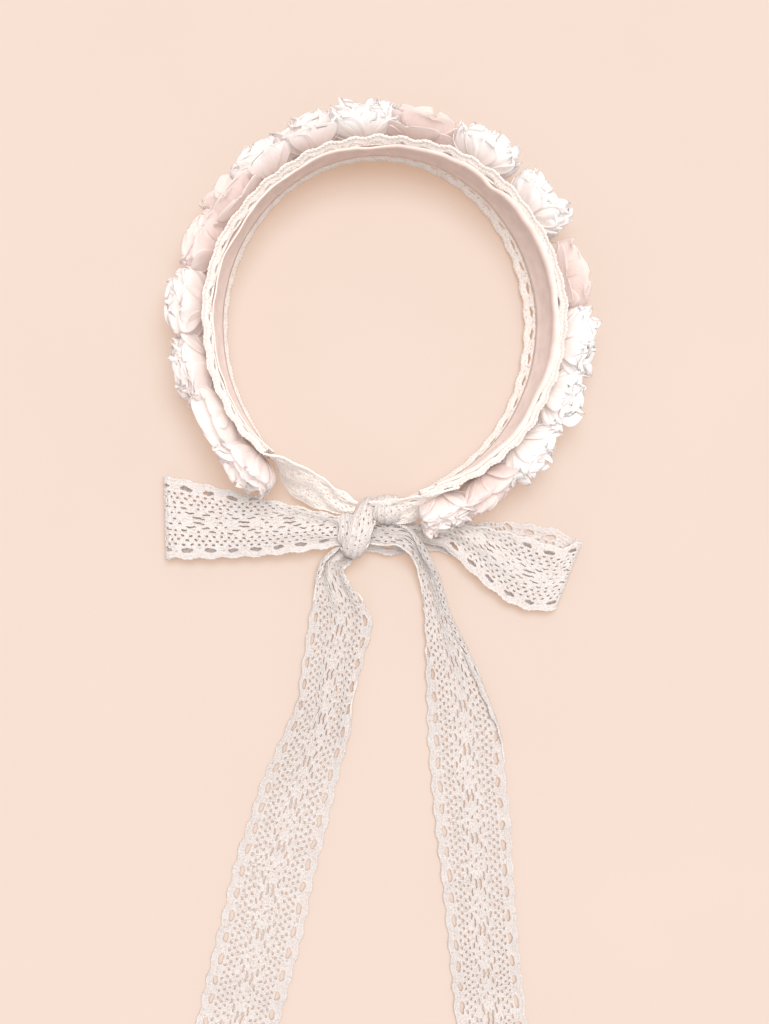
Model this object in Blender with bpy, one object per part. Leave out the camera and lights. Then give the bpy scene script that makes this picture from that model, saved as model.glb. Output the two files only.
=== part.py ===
"""Flower crown: a lace ribbon standing as a ring, lined with a soft ribbon, with a row of
chiffon flowers round its outside, tied in a bow whose two tails lie out in front.

Metres, +Z up. The origin is the centre of the ring on the surface that the crown stands on.
The bow is at -Y, and the tails run on towards -Y.
"""

from math import cos, pi, radians, sin, sqrt

import bmesh
import bpy
from mathutils import Matrix, Vector

# ---------------------------------------------------------------- driving sizes
LACE_WIDTH = 0.0400
LACE_THICKNESS = 0.0010
PIECE_GAP = 0.0004

# The ring, as its upper edge and how far its lower edge stands in from that along X and Y.
RING_RADIUS = 0.0858
WALL_LEAN_X = 0.0086
WALL_LEAN_Y = -0.0004
RING_FOOT_SHIFT_X = -0.0038
BAND_FROM_DEG = -80.0
BAND_TO_DEG = 240.0
ARC_STEP_DEG = 4.0

LINING_WIDTH = 0.0280
LINING_THICKNESS = 0.0006
LINING_TOP_MARGIN = 0.0020
LINING_FROM_DEG = -72.0
LINING_TO_DEG = 230.0

TAPE_WIDTH = 0.0120
TAPE_THICKNESS = 0.0008
TAPE_OVERRUN_DEG = 5.0

# One entry for each flower round the ring: its angle from +X and the kind of flower.
FLOWERS = (
    (-70, "ruffle"),
    (-54, "blush"),
    (-39, "ruffle"),
    (-21, "ruffle"),
    (-5, "ruffle"),
    (13, "rose"),
    (34, "ruffle"),
    (56, "ruffle"),
    (76, "rose"),
    (94, "ruffle"),
    (112, "ruffle"),
    (128, "ruffle"),
    (142, "rose"),
    (157, "blush"),
    (175, "ruffle"),
    (193, "ruffle"),
    (209, "bud"),
    (225, "ruffle"),
)
FLOWER_HEIGHT_SHARE = 0.54
FLOWER_DEPTH = 0.0180
FLOWER_RADIUS_MAX = 0.0140
FLOWER_SPACING_STAND_OUT = 0.0030
CUP_DEPTH = 0.0083
CUP_WALL = 0.0018
PETAL_COUNT = 5
PETAL_NOTCH = 0.10
CUP_SIDES = 20
HEART_SIDES = 12

# Turned outlines, as shares of the flower's radius and of the piece's depth.
CUP_OUTLINE = ((0.45, 0.0), (0.90, 0.55), (1.0, 1.0))
CUP_FLOOR_SHARE = 0.52
HEART_FLOOR_SHARE = 0.40
HEART_OUTLINE = ((0.66, 0.55), (0.52, 0.88))

# The knot is a pillow that stands just outside the ring.
KNOT_WIDTH = 0.0140
KNOT_LENGTH = 0.0290
KNOT_HEIGHT = 0.0190
KNOT_X = -0.0123
KNOT_STAND_OFF = 0.0136
KNOT_LIFT = 0.0020
KNOT_FULLNESS = 0.55
KNOT_RINGS = 8
KNOT_SIDES = 20

# Moving pieces stand off from what they turn against.
LOOP_JOINT_GAP = 0.0016
TAIL_JOINT_GAP = 0.0019
LOOP_HINGE_Z = 0.0068
LOOP_MOUTH = 0.0028
LOOP_RISE = 0.0060
FOLD_STEPS = 6
TAIL_HINGE_Z = 0.0026
ROLL_THICKNESS = 0.0030
SQUARING_SECTIONS = 4
TAIL_STEPS = 2
ROOT_STEPS = 3

# In the bow, X is measured outwards from the knot's side. Y is measured from the knot's
# middle in widths of the lace, so that wider lace makes a fuller bow that still clears.

# Loops: how far they reach, and along that reach the share of it, the middle's Y, and the
# half section's X and Y in widths of the lace.
LEFT_LOOP_REACH = 0.0862
LEFT_LOOP_NECK = (-0.025, 0.175)
LEFT_LOOP_SPINE = (
    (0.298, -0.0025, 0.010, 0.300),
    (0.588, 0.0400, 0.020, 0.405),
    (0.820, 0.0850, 0.0225, 0.475),
    (1.000, 0.1225, 0.025, 0.5125),
)
RIGHT_LOOP_REACH = 0.0921
RIGHT_LOOP_NECK = (-0.070, 0.145)
RIGHT_LOOP_SPINE = (
    (0.253, -0.090, 0.020, 0.115),
    (0.454, -0.195, 0.055, 0.220),
    (0.633, -0.365, 0.100, 0.345),
    (0.818, -0.515, 0.150, 0.420),
    (1.000, -0.590, 0.1825, 0.4475),
)

# Roots: each point's X, its Y and the share of the lace's width that shows, from 1 where
# the ribbon lies flat down to where it is gathered or rolled. The last is the tail's hinge.
LEFT_ROOT_ROUTE = (
    (0.0035, -0.280, 0.16),
    (0.0055, -0.365, 0.24),
    (0.0069, -0.470, 0.31),
)
RIGHT_ROOT_ROUTE = (
    (0.0165, -0.335, 0.18),
    (0.0259, -0.490, 0.28),
    (0.0303, -0.785, 0.28),
    (0.0325, -1.140, 0.37),
)

# Tails: how far they run from the hinge towards -Y, and along that run the share of it,
# how far the middle has moved towards +X, and the share of the lace's width that shows.
LEFT_TAIL_RUN = 0.3018
LEFT_TAIL_ROUTE = (
    (0.042, 0.0027, 0.52),
    (0.101, 0.0042, 0.80),
    (0.165, -0.0003, 0.75),
    (0.211, -0.0032, 0.67),
    (0.254, -0.0059, 0.75),
    (0.355, -0.0166, 0.92),
    (0.506, -0.0286, 1.00),
    (0.622, -0.0366, 1.00),
    (0.761, -0.0471, 1.00),
    (1.000, -0.0643, 1.00),
)
RIGHT_TAIL_RUN = 0.2700
RIGHT_TAIL_ROUTE = (
    (0.040, 0.0026, 0.48),
    (0.107, 0.0066, 0.67),
    (0.170, 0.0101, 0.83),
    (0.229, 0.0128, 0.93),
    (0.318, 0.0151, 0.97),
    (0.484, 0.0192, 0.97),
    (0.633, 0.0227, 0.97),
    (0.751, 0.0261, 1.00),
    (1.000, 0.0328, 1.00),
)

# Leads, where the two ends of the band run down into the knot: the share of the way from
# the band to the knot, and how far the top and bottom edges stand from a straight run.
LEAD_GAP_DEG = 0.6
LEFT_LEAD_BENDS = (
    (0.285, Vector((0.0, 0.0047, -0.0006)), Vector((-0.0048, -0.0051, 0.0062))),
    (0.680, Vector((0.0, 0.0028, 0.0006)), Vector((-0.0032, -0.0030, 0.0027))),
)
RIGHT_LEAD_BENDS = (
    (0.437, Vector((0.0, -0.0001, -0.0010)), Vector((0.0010, -0.0013, 0.0033))),
)
# Where a lead's top and bottom edges meet the knot's side, from the knot's middle.
LEFT_LEAD_END = (Vector((0.0, 0.0154, 0.0100)), Vector((0.0, 0.0082, 0.0005)))
RIGHT_LEAD_END = (Vector((0.0, 0.0136, 0.0105)), Vector((0.0, 0.0059, 0.0010)))

SMOOTH_UP_TO_DEG = 50.0

MATERIALS = {
    "cotton_lace": ((0.87, 0.80, 0.72), 0.90),
    "lining_ribbon": ((0.80, 0.65, 0.59), 0.85),
    "net_tape": ((0.90, 0.86, 0.80), 0.90),
    "white_chiffon": ((0.93, 0.91, 0.88), 0.70),
    "blush_chiffon": ((0.88, 0.74, 0.69), 0.70),
}
PETAL_MATERIAL = {
    "ruffle": "white_chiffon",
    "bud": "white_chiffon",
    "blush": "blush_chiffon",
    "rose": "blush_chiffon",
}


# ---------------------------------------------------------------- making meshes
def clear_scene():
    """Remove every object that the file opened with."""
    for old in list(bpy.data.objects):
        bpy.data.objects.remove(old, do_unlink=True)


def material(name):
    """Return the named material, made on first use."""
    made = bpy.data.materials.get(name)
    if made is None:
        made = bpy.data.materials.new(name)
        made.use_nodes = True
        colour, roughness = MATERIALS[name]
        shader = made.node_tree.nodes["Principled BSDF"]
        shader.inputs["Base Color"].default_value = (*colour, 1.0)
        shader.inputs["Roughness"].default_value = roughness
        shader.inputs["Metallic"].default_value = 0.0
    return made


def finish(name, bm, finish_name, smooth=False):
    """Turn a bmesh into an object with its faces pointing out."""
    bmesh.ops.recalc_face_normals(bm, faces=bm.faces)
    mesh = bpy.data.meshes.new(name)
    bm.to_mesh(mesh)
    bm.free()
    mesh.materials.append(material(finish_name))
    if smooth:
        mesh.shade_smooth()
        mesh.set_sharp_from_angle(angle=radians(SMOOTH_UP_TO_DEG))
    made = bpy.data.objects.new(name, mesh)
    bpy.context.collection.objects.link(made)
    return made


def loft(name, sections, finish_name):
    """Join closed sections with the same number of corners, and cap both ends."""
    bm = bmesh.new()
    rings = [[bm.verts.new(corner) for corner in section] for section in sections]
    count = len(rings[0])
    for near, far in zip(rings, rings[1:]):
        for i in range(count):
            k = (i + 1) % count
            bm.faces.new((near[i], near[k], far[k], far[i]))
    bm.faces.new(rings[0])
    bm.faces.new(rings[-1])
    return finish(name, bm, finish_name)


def turned(name, profile, sides, finish_name, notches=0, notch=0.0):
    """Turn a (radius, height) profile that starts and ends on the axis about +Z.

    With notches, each ring dips inwards that many times round, by the share given.
    """
    bm = bmesh.new()
    rings = []
    for radius, height in profile[1:-1]:
        ring = []
        for i in range(sides):
            turn = 2 * pi * i / sides
            r = radius * (1 - notch * (0.5 - 0.5 * cos(notches * turn)))
            ring.append(bm.verts.new((r * cos(turn), r * sin(turn), height)))
        rings.append(ring)
    first = bm.verts.new((0, 0, profile[0][1]))
    last = bm.verts.new((0, 0, profile[-1][1]))
    for i in range(sides):
        k = (i + 1) % sides
        bm.faces.new((first, rings[0][i], rings[0][k]))
        bm.faces.new((last, rings[-1][k], rings[-1][i]))
        for near, far in zip(rings, rings[1:]):
            bm.faces.new((near[i], far[i], far[k], near[k]))
    return finish(name, bm, finish_name, smooth=True)


def set_origin(made, point):
    """Put an object's origin at a point and leave its shape where it is."""
    made.data.transform(Matrix.Translation(-point))
    made.location = point
    return made


# ---------------------------------------------------------------- the ring's wall
def foot_point(turn):
    """A point on the wall's lower edge."""
    x = RING_FOOT_SHIFT_X + (RING_RADIUS - WALL_LEAN_X) * cos(turn)
    return Vector((x, (RING_RADIUS - WALL_LEAN_Y) * sin(turn), 0.0))


def wall_point(turn, share):
    """A point on the wall, at a share of the lace's width above its lower edge."""
    foot = foot_point(turn)
    top = Vector((RING_RADIUS * cos(turn), RING_RADIUS * sin(turn), 0.0))
    top.z = sqrt(LACE_WIDTH**2 - (top - foot).length_squared)
    return foot.lerp(top, share)


def wall_frame(turn, share):
    """The wall's own directions at a point: along the ring, up the wall and outwards."""
    step = radians(0.5)
    along = (wall_point(turn + step, share) - wall_point(turn - step, share)).normalized()
    up = (wall_point(turn, 1.0) - wall_point(turn, 0.0)).normalized()
    outwards = along.cross(up).normalized()
    up = outwards.cross(along).normalized()
    return along, up, outwards


def wall_section(turn, low, high, inner, outer):
    """Four corners across the wall, between two heights and two distances outwards.

    At the lower edge the corners stay level, so the ring stands flat.
    """
    corners = []
    for share, offset in ((low, inner), (low, outer), (high, outer), (high, inner)):
        outwards = wall_frame(turn, share)[2]
        if share == 0.0:
            outwards = Vector((outwards.x, outwards.y, 0.0)).normalized()
        corners.append(wall_point(turn, share) + offset * outwards)
    return corners


def wall_strip(name, from_deg, to_deg, low, high, inner, outer, finish_name):
    """A strip that follows the wall."""
    steps = max(2, round((to_deg - from_deg) / ARC_STEP_DEG))
    turns = [radians(from_deg + (to_deg - from_deg) * i / steps) for i in range(steps + 1)]
    sections = [wall_section(turn, low, high, inner, outer) for turn in turns]
    return loft(name, sections, finish_name)


def make_band():
    """The lace that stands as the ring."""
    half = LACE_THICKNESS / 2
    wall_strip(
        "lace_band", BAND_FROM_DEG, BAND_TO_DEG, 0.0, 1.0, -half, half, "cotton_lace"
    )


def make_lining():
    """The soft ribbon sewn inside the ring."""
    high = 1 - LINING_TOP_MARGIN / LACE_WIDTH
    low = high - LINING_WIDTH / LACE_WIDTH
    outer = -(LACE_THICKNESS / 2 + PIECE_GAP)
    wall_strip(
        "lining_ribbon",
        LINING_FROM_DEG,
        LINING_TO_DEG,
        low,
        high,
        outer - LINING_THICKNESS,
        outer,
        "lining_ribbon",
    )


def make_tape():
    """The narrow net tape that the flowers are sewn to, round the outside."""
    middle = FLOWER_HEIGHT_SHARE
    half = TAPE_WIDTH / LACE_WIDTH / 2
    inner = LACE_THICKNESS / 2 + PIECE_GAP
    wall_strip(
        "flower_tape",
        FLOWERS[0][0] - TAPE_OVERRUN_DEG,
        FLOWERS[-1][0] + TAPE_OVERRUN_DEG,
        middle - half,
        middle + half,
        inner,
        inner + TAPE_THICKNESS,
        "net_tape",
    )


# ---------------------------------------------------------------- flowers
def flower_radius(index):
    """Half the room to the nearer neighbour, so neighbouring flowers just clear."""
    angle = FLOWERS[index][0]
    near = [abs(FLOWERS[k][0] - angle) for k in (index - 1, index + 1) if 0 <= k < len(FLOWERS)]
    seat = RING_RADIUS + FLOWER_SPACING_STAND_OUT
    room = seat * sin(radians(min(near)) / 2) - PIECE_GAP
    return min(room, FLOWER_RADIUS_MAX)


def make_flower(index):
    """One flower: a cup of outer petals, and the heart that sits in it."""
    angle, kind = FLOWERS[index]
    turn = radians(angle)
    radius = flower_radius(index)
    seat = LACE_THICKNESS / 2 + TAPE_THICKNESS + 2 * PIECE_GAP
    along, up, outwards = wall_frame(turn, FLOWER_HEIGHT_SHARE)
    place = wall_point(turn, FLOWER_HEIGHT_SHARE) + seat * outwards
    notches = 0 if kind == "bud" else PETAL_COUNT
    cup = [
        (0.0, 0.0),
        *((share * radius, height * CUP_DEPTH) for share, height in CUP_OUTLINE),
        (radius - CUP_WALL, CUP_DEPTH),
        (CUP_FLOOR_SHARE * radius, CUP_WALL),
        (0.0, CUP_WALL),
    ]
    floor = CUP_WALL + PIECE_GAP
    heart = [
        (0.0, floor),
        (HEART_FLOOR_SHARE * radius, floor),
        *((share * radius, height * FLOWER_DEPTH) for share, height in HEART_OUTLINE),
        (0.0, FLOWER_DEPTH),
    ]
    number = f"{index + 1:02d}"
    finish_name = PETAL_MATERIAL[kind]
    petals = turned(
        f"flower_{number}_petals", cup, CUP_SIDES, finish_name, notches, PETAL_NOTCH
    )
    inner = turned(f"flower_{number}_heart", heart, HEART_SIDES, finish_name)
    stand = Matrix((along, up, outwards)).transposed().to_4x4()
    for piece in (petals, inner):
        piece.matrix_world = Matrix.Translation(place) @ stand


# ---------------------------------------------------------------- knot and ribbon ends
def knot_middle():
    """The middle of the bow's knot."""
    return Vector((KNOT_X, -(RING_RADIUS + KNOT_STAND_OFF), KNOT_LIFT + KNOT_HEIGHT / 2))


def beside_knot(outwards, distance, widths):
    """The X and Y of a bow point, outwards from the knot's side by a distance.

    outwards is -1 on the left and 1 on the right, and widths is the point's Y from the
    knot's middle in widths of the lace.
    """
    middle = knot_middle()
    x = middle.x + outwards * (KNOT_WIDTH / 2 + distance)
    return x, middle.y + widths * LACE_WIDTH


def make_knot():
    """The bow's knot, a pillow with full, nearly flat sides."""

    def rounded(value):
        return (1 if value >= 0 else -1) * abs(value) ** KNOT_FULLNESS

    middle = knot_middle()
    bm = bmesh.new()
    rings = []
    for j in range(1, KNOT_RINGS):
        lift = -pi / 2 + pi * j / KNOT_RINGS
        ring = []
        for i in range(KNOT_SIDES):
            turn = 2 * pi * i / KNOT_SIDES
            x = KNOT_WIDTH / 2 * rounded(cos(lift)) * rounded(cos(turn))
            z = KNOT_HEIGHT / 2 * rounded(cos(lift)) * rounded(sin(turn))
            y = KNOT_LENGTH / 2 * rounded(sin(lift))
            ring.append(bm.verts.new(middle + Vector((x, y, z))))
        rings.append(ring)
    for near, far in zip(rings, rings[1:]):
        for i in range(KNOT_SIDES):
            k = (i + 1) % KNOT_SIDES
            bm.faces.new((near[i], near[k], far[k], far[i]))
    bm.faces.new(rings[0])
    bm.faces.new(rings[-1])
    finish("bow_knot", bm, "cotton_lace", smooth=True)


def edge_section(top, bottom, tangent, thickness):
    """Four corners of a ribbon section, given its two edges and the way it runs."""
    across = (top - bottom).normalized()
    side = tangent.cross(across).normalized() * thickness / 2
    return [bottom - side, bottom + side, top + side, top - side]


def make_lead(name, outwards, band_deg, bends, end):
    """A ribbon from the band's end, at an angle round the ring, to the knot's side."""
    turn = radians(band_deg)
    foot_lift = Vector((0.0, 0.0, LACE_THICKNESS / 2))
    start = (wall_point(turn, 1.0), wall_point(turn, 0.0) + foot_lift)
    reach = Vector((outwards * (KNOT_WIDTH / 2 + PIECE_GAP), 0.0, 0.0))
    stop = [knot_middle() + reach + offset for offset in end]
    edges = [start]
    for share, top_offset, bottom_offset in bends:
        top = start[0].lerp(stop[0], share) + top_offset
        bottom = start[1].lerp(stop[1], share) + bottom_offset
        edges.append((top, bottom))
    edges.append(stop)
    middles = [(top + bottom) / 2 for top, bottom in edges]
    sections = []
    for i, (top, bottom) in enumerate(edges):
        before = middles[max(i - 1, 0)]
        after = middles[min(i + 1, len(edges) - 1)]
        tangent = (after - before).normalized()
        sections.append(edge_section(top, bottom, tangent, LACE_THICKNESS))
    loft(name, sections, "cotton_lace")


def make_leads():
    """The two runs of lace from the ring into the knot."""
    left_deg = BAND_TO_DEG + LEAD_GAP_DEG
    right_deg = BAND_FROM_DEG - LEAD_GAP_DEG
    make_lead("left_lead", -1, left_deg, LEFT_LEAD_BENDS, LEFT_LEAD_END)
    make_lead("right_lead", 1, right_deg, RIGHT_LEAD_BENDS, RIGHT_LEAD_END)


def smooth_route(route, steps):
    """Points on a smooth curve through a route's points, evenly between each pair."""
    points = [Vector(p) for p in route]
    padded = [2 * points[0] - points[1], *points, 2 * points[-1] - points[-2]]
    out = []
    for a, b, c, d in zip(padded, padded[1:], padded[2:], padded[3:]):
        for i in range(steps):
            t = i / steps
            even = b * 2 + (c - a) * t + (a * 2 - b * 5 + c * 4 - d) * t**2
            out.append((even + (b * 3 - a - c * 3 + d) * t**3) / 2)
    return [*out, points[-1]]


def flat_ribbon(name, route, heights, steps, square_end):
    """A ribbon lying along a route of (x, y, share of width).

    heights gives how high the underside is at the start and at the end. The section
    numbered square_end, the one at the tail's hinge, lies square to the hinge's axis,
    and the sections before it turn gradually towards that.
    """
    hinge_side = Vector((1.0, 0.0, 0.0))
    points = smooth_route(route, steps)
    sections = []
    for i, point in enumerate(points):
        before = points[max(i - 1, 0)]
        after = points[min(i + 1, len(points) - 1)]
        tangent = Vector((after.x - before.x, after.y - before.y, 0.0)).normalized()
        side = Vector((0.0, 0.0, 1.0)).cross(tangent)
        away = abs(i - square_end % len(points)) / SQUARING_SECTIONS
        side = side.lerp(hinge_side, max(0.0, 1 - away)).normalized()
        share = min(point.z, 1.0)
        thickness = LACE_THICKNESS + ROLL_THICKNESS * (1 - share)
        travel = min(1.0, i / (2 * steps))
        low = heights[0] + (heights[1] - heights[0]) * travel
        half = side * share * LACE_WIDTH / 2
        middle = Vector((point.x, point.y, low))
        rise = Vector((0.0, 0.0, thickness))
        sections.append(
            [middle - half, middle + half, middle + half + rise, middle - half + rise]
        )
    return loft(name, sections, "cotton_lace")


def make_tail(side, outwards, root, run, route):
    """One hanging end of the bow, and the short root that it hinges on."""
    placed = [(*beside_knot(outwards, out, widths), share) for out, widths, share in root]
    hinge_x, hinge_y, hinge_share = placed[-1]
    thickness = LACE_THICKNESS + ROLL_THICKNESS * (1 - hinge_share)
    lift = TAIL_HINGE_Z - thickness / 2
    points = [(hinge_x + shift, hinge_y - along * run, share) for along, shift, share in route]
    tail = flat_ribbon(f"{side}_tail", [placed[-1], *points], (lift, 0.0), TAIL_STEPS, 0)
    set_origin(tail, Vector((hinge_x, hinge_y, TAIL_HINGE_Z)))
    placed[-1] = (hinge_x, hinge_y + TAIL_JOINT_GAP, hinge_share)
    flat_ribbon(f"{side}_tail_root", placed, (lift, lift), ROOT_STEPS, -1)


def make_tails():
    """The two hanging ends of the bow."""
    make_tail("left", -1, LEFT_ROOT_ROUTE, LEFT_TAIL_RUN, LEFT_TAIL_ROUTE)
    make_tail("right", 1, RIGHT_ROOT_ROUTE, RIGHT_TAIL_RUN, RIGHT_TAIL_ROUTE)


# ---------------------------------------------------------------- bow loops
def loop_sections(neck, spine, outwards):
    """Sections of a ribbon that runs out low, turns over at the fold and runs back higher.

    neck and each station of the spine are the middle and half of the section across.
    """
    half = LACE_THICKNESS / 2
    low = half
    high = low + LOOP_RISE
    out_run = [(neck, LOOP_HINGE_Z - LOOP_MOUTH / 2)]
    back_run = [(neck, LOOP_HINGE_Z + LOOP_MOUTH / 2)]
    for station in spine:
        out_run.append((station, low))
        back_run.append((station, high))
    sections = []
    for (middle, across), z in out_run:
        up = Vector((0.0, 0.0, half))
        sections.append((middle, across, z, up))
    fold_middle, fold_across = out_run[-1][0]
    radius = LOOP_RISE / 2
    for i in range(1, FOLD_STEPS):
        bend = pi * i / FOLD_STEPS
        forward = outwards * radius * sin(bend)
        up = Vector((0.0, 0.0, half * cos(bend))) - outwards * half * sin(bend)
        height = low + radius * (1 - cos(bend))
        sections.append((fold_middle + forward, fold_across, height, up))
    for (middle, across), z in reversed(back_run):
        up = Vector((0.0, 0.0, -half))
        sections.append((middle, across, z, up))
    corners = []
    for middle, across, z, up in sections:
        centre = Vector((middle.x, middle.y, z))
        low_pair = [centre - across - up, centre + across - up]
        high_pair = [centre + across + up, centre - across + up]
        corners.append(low_pair + high_pair)
    return corners


def make_loop(side, outwards, reach, neck, spine):
    """One loop of the bow, hinged where it leaves the knot."""
    neck_y, neck_half = neck
    x, y = beside_knot(outwards, LOOP_JOINT_GAP, neck_y)
    start = (Vector((x, y, 0.0)), Vector((0.0, neck_half * LACE_WIDTH, 0.0)))
    stations = []
    for share, widths, lean, half_width in spine:
        middle = Vector((*beside_knot(outwards, share * reach, widths), 0.0))
        stations.append((middle, Vector((lean, half_width, 0.0)) * LACE_WIDTH))
    across = stations[-1][1]
    fold_way = outwards * Vector((across.y, -across.x, 0.0)).normalized()
    made = loft(f"{side}_loop", loop_sections(start, stations, fold_way), "cotton_lace")
    set_origin(made, Vector((x, y, LOOP_HINGE_Z)))


def make_loops():
    """The two loops of the bow."""
    make_loop("left", -1, LEFT_LOOP_REACH, LEFT_LOOP_NECK, LEFT_LOOP_SPINE)
    make_loop("right", 1, RIGHT_LOOP_REACH, RIGHT_LOOP_NECK, RIGHT_LOOP_SPINE)


def main():
    clear_scene()
    make_band()
    make_lining()
    make_tape()
    for index in range(len(FLOWERS)):
        make_flower(index)
    make_leads()
    make_knot()
    make_loops()
    make_tails()


main()
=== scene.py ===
"""Flower crown: lace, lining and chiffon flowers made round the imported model.

Metres, +Z up. The ring stands on z = 0 about the origin, and the bow is at -Y.
"""

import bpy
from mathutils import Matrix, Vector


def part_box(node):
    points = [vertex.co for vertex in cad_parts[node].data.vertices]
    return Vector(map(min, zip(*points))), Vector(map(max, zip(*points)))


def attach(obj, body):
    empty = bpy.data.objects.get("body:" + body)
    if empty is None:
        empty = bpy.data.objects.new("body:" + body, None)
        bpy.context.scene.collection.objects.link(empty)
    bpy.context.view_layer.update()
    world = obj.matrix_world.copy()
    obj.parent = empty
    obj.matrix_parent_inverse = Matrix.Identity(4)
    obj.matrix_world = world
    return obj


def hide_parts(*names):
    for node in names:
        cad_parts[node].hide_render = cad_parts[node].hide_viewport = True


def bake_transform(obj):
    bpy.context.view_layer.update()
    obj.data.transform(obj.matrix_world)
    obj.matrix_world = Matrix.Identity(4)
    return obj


bl_info = {
    "name": "Flower crown",
    "version": (1, 0, 0),
    "blender": (4, 5, 0),
    "location": "3D View > Sidebar > Flower crown",
    "description": "Makes a lace and chiffon flower crown round its packed model",
    "category": "Add Mesh",
}

import bpy
import numpy as np
from mathutils import Vector

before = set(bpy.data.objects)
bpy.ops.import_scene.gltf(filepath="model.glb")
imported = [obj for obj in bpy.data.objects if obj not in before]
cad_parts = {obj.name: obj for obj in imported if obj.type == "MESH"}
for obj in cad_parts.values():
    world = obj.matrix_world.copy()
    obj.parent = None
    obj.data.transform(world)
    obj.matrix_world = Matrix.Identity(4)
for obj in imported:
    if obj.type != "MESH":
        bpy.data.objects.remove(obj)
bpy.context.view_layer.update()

MM = 0.001
TURN = 2 * np.pi


# ---------------------------------------------------------------- places from the frame
def node_points(name):
    """A CAD node's corners as an array."""
    return np.array([corner.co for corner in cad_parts[name].data.vertices])


BAND_HALF_THICKNESS = 0.5 * MM
BAND_POINTS = node_points("lace_band")
FOOT_POINTS = BAND_POINTS[BAND_POINTS[:, 2] < 1 * MM]
RING_RADIUS = BAND_POINTS[:, 0].max() - BAND_HALF_THICKNESS
RING_HEIGHT = BAND_POINTS[:, 2].max()
FOOT_RADIUS_X = np.ptp(FOOT_POINTS[:, 0]) / 2 - BAND_HALF_THICKNESS
FOOT_RADIUS_Y = FOOT_POINTS[:, 1].max() - BAND_HALF_THICKNESS
FOOT_SHIFT_X = (FOOT_POINTS[:, 0].max() + FOOT_POINTS[:, 0].min()) / 2

# The band's two ends, measured round the ring from +X.
BAND_FROM_DEG = -78.0
BAND_TO_DEG = 228.0

# The +X lead laps over the outside of the band's end.
LAP_DEG = 12.0
LAP_OFF = 1.3 * MM
LAP_FOOT = 0.04

# The band's foot turns in a little, most on the +X side.
FOOT_CURL = 4.2 * MM
FOOT_CURL_SHARE = 0.34
FOOT_CURL_TURN = np.radians(3)

# The lining's upper seam pulls the lace in, so the lace flares out above it.
PINCH = 2.3 * MM
PINCH_SHARE = 0.85
FLARE = 1.0 * MM

# The wall's foot stands this far off the floor, and its curl lifts it by this share.
FOOT_OFF_FLOOR = 0.2 * MM
FOOT_LIFT = 0.40

# The ribbons round the ring: ends in degrees, wall and how far the tape stands off the lace.
LINING_FROM_DEG, LINING_TO_DEG, LINING_WALL = -72, 230, 0.6 * MM
TAPE_FROM_DEG, TAPE_TO_DEG, TAPE_WALL, TAPE_OFF = -75, 229, 0.5 * MM, 1.3 * MM

# Where the lining stands off the lace: angle, half width in degrees and share of the gape.
LINING_GAPS = (
    (151, 6, 0.55), (50, 5, 0.95), (66, 4, 0.30), (93, 6, 0.50), (5, 7, 0.55),
    (-28, 6, 0.40), (-52, 5, 0.25), (172, 5, 0.25), (200, 4, 0.25),
)

# Kinds of flower in order round the ring.
FLOWER_KINDS = (
    "ruffle", "blush", "fringe", "fringe", "fringe", "rose", "fringe", "fringe", "rose",
    "fringe", "ruffle", "ruffle", "rose", "blush", "ruffle", "ruffle", "bud", "ruffle",
)

# Ribbon rows: both edges of the ribbon as (x, y, z), with the height of its soft pleats
# and the length of edge rolled over at the first and at the second edge.
LEFT_TAIL_ROWS = (
    ((-0.0205, -0.1075, 0.0070), (-0.0135, -0.1120, 0.0060), 0.0030, 0.004, 0.0),
    ((-0.0262, -0.1108, 0.0065), (-0.0168, -0.1170, 0.0060), 0.0030, 0.005, 0.0),
    ((-0.0315, -0.1165, 0.0050), (-0.0195, -0.1215, 0.0055), 0.0026, 0.006, 0.0),
    ((-0.0338, -0.1250, 0.0036), (-0.0165, -0.1275, 0.0050), 0.0024, 0.005, 0.0),
    ((-0.0350, -0.1350, 0.0022), (-0.0105, -0.1355, 0.0040), 0.0020, 0.003, 0.0),
    ((-0.0378, -0.1455, 0.0012), (-0.0058, -0.1480, 0.0015), 0.0014, 0.001, 0.0),
    ((-0.0400, -0.1600, 0.0010), (-0.0092, -0.1615, 0.0015), 0.0014, 0.0, 0.0),
    ((-0.0422, -0.1740, 0.0010), (-0.0132, -0.1750, 0.0020), 0.0018, 0.0, 0.002),
    ((-0.0432, -0.1850, 0.0010), (-0.0164, -0.1870, 0.0022), 0.0020, 0.0, 0.003),
    ((-0.0485, -0.1975, 0.0010), (-0.0172, -0.2010, 0.0020), 0.0016, 0.0, 0.002),
    ((-0.0560, -0.2135, 0.0010), (-0.0212, -0.2175, 0.0012), 0.0008, 0.0, 0.0),
    ((-0.0625, -0.2280, 0.0010), (-0.0252, -0.2350, 0.0010), 0.0004, 0.0, 0.0),
    ((-0.0683, -0.2458, 0.0010), (-0.0300, -0.2560, 0.0010), 0.0003, 0.0, 0.0),
    ((-0.0745, -0.2640, 0.0010), (-0.0348, -0.2745, 0.0010), 0.0002, 0.0, 0.0),
    ((-0.0812, -0.2915, 0.0010), (-0.0402, -0.3020, 0.0010), 0.0002, 0.0, 0.0),
    ((-0.0880, -0.3190, 0.0010), (-0.0475, -0.3300, 0.0010), 0.0002, 0.0, 0.0),
    ((-0.0950, -0.3500, 0.0010), (-0.0553, -0.3600, 0.0010), 0.0002, 0.0, 0.0),
    ((-0.1090, -0.4150, 0.0010), (-0.0695, -0.4245, 0.0010), 0.0002, 0.0, 0.0),
)
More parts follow.
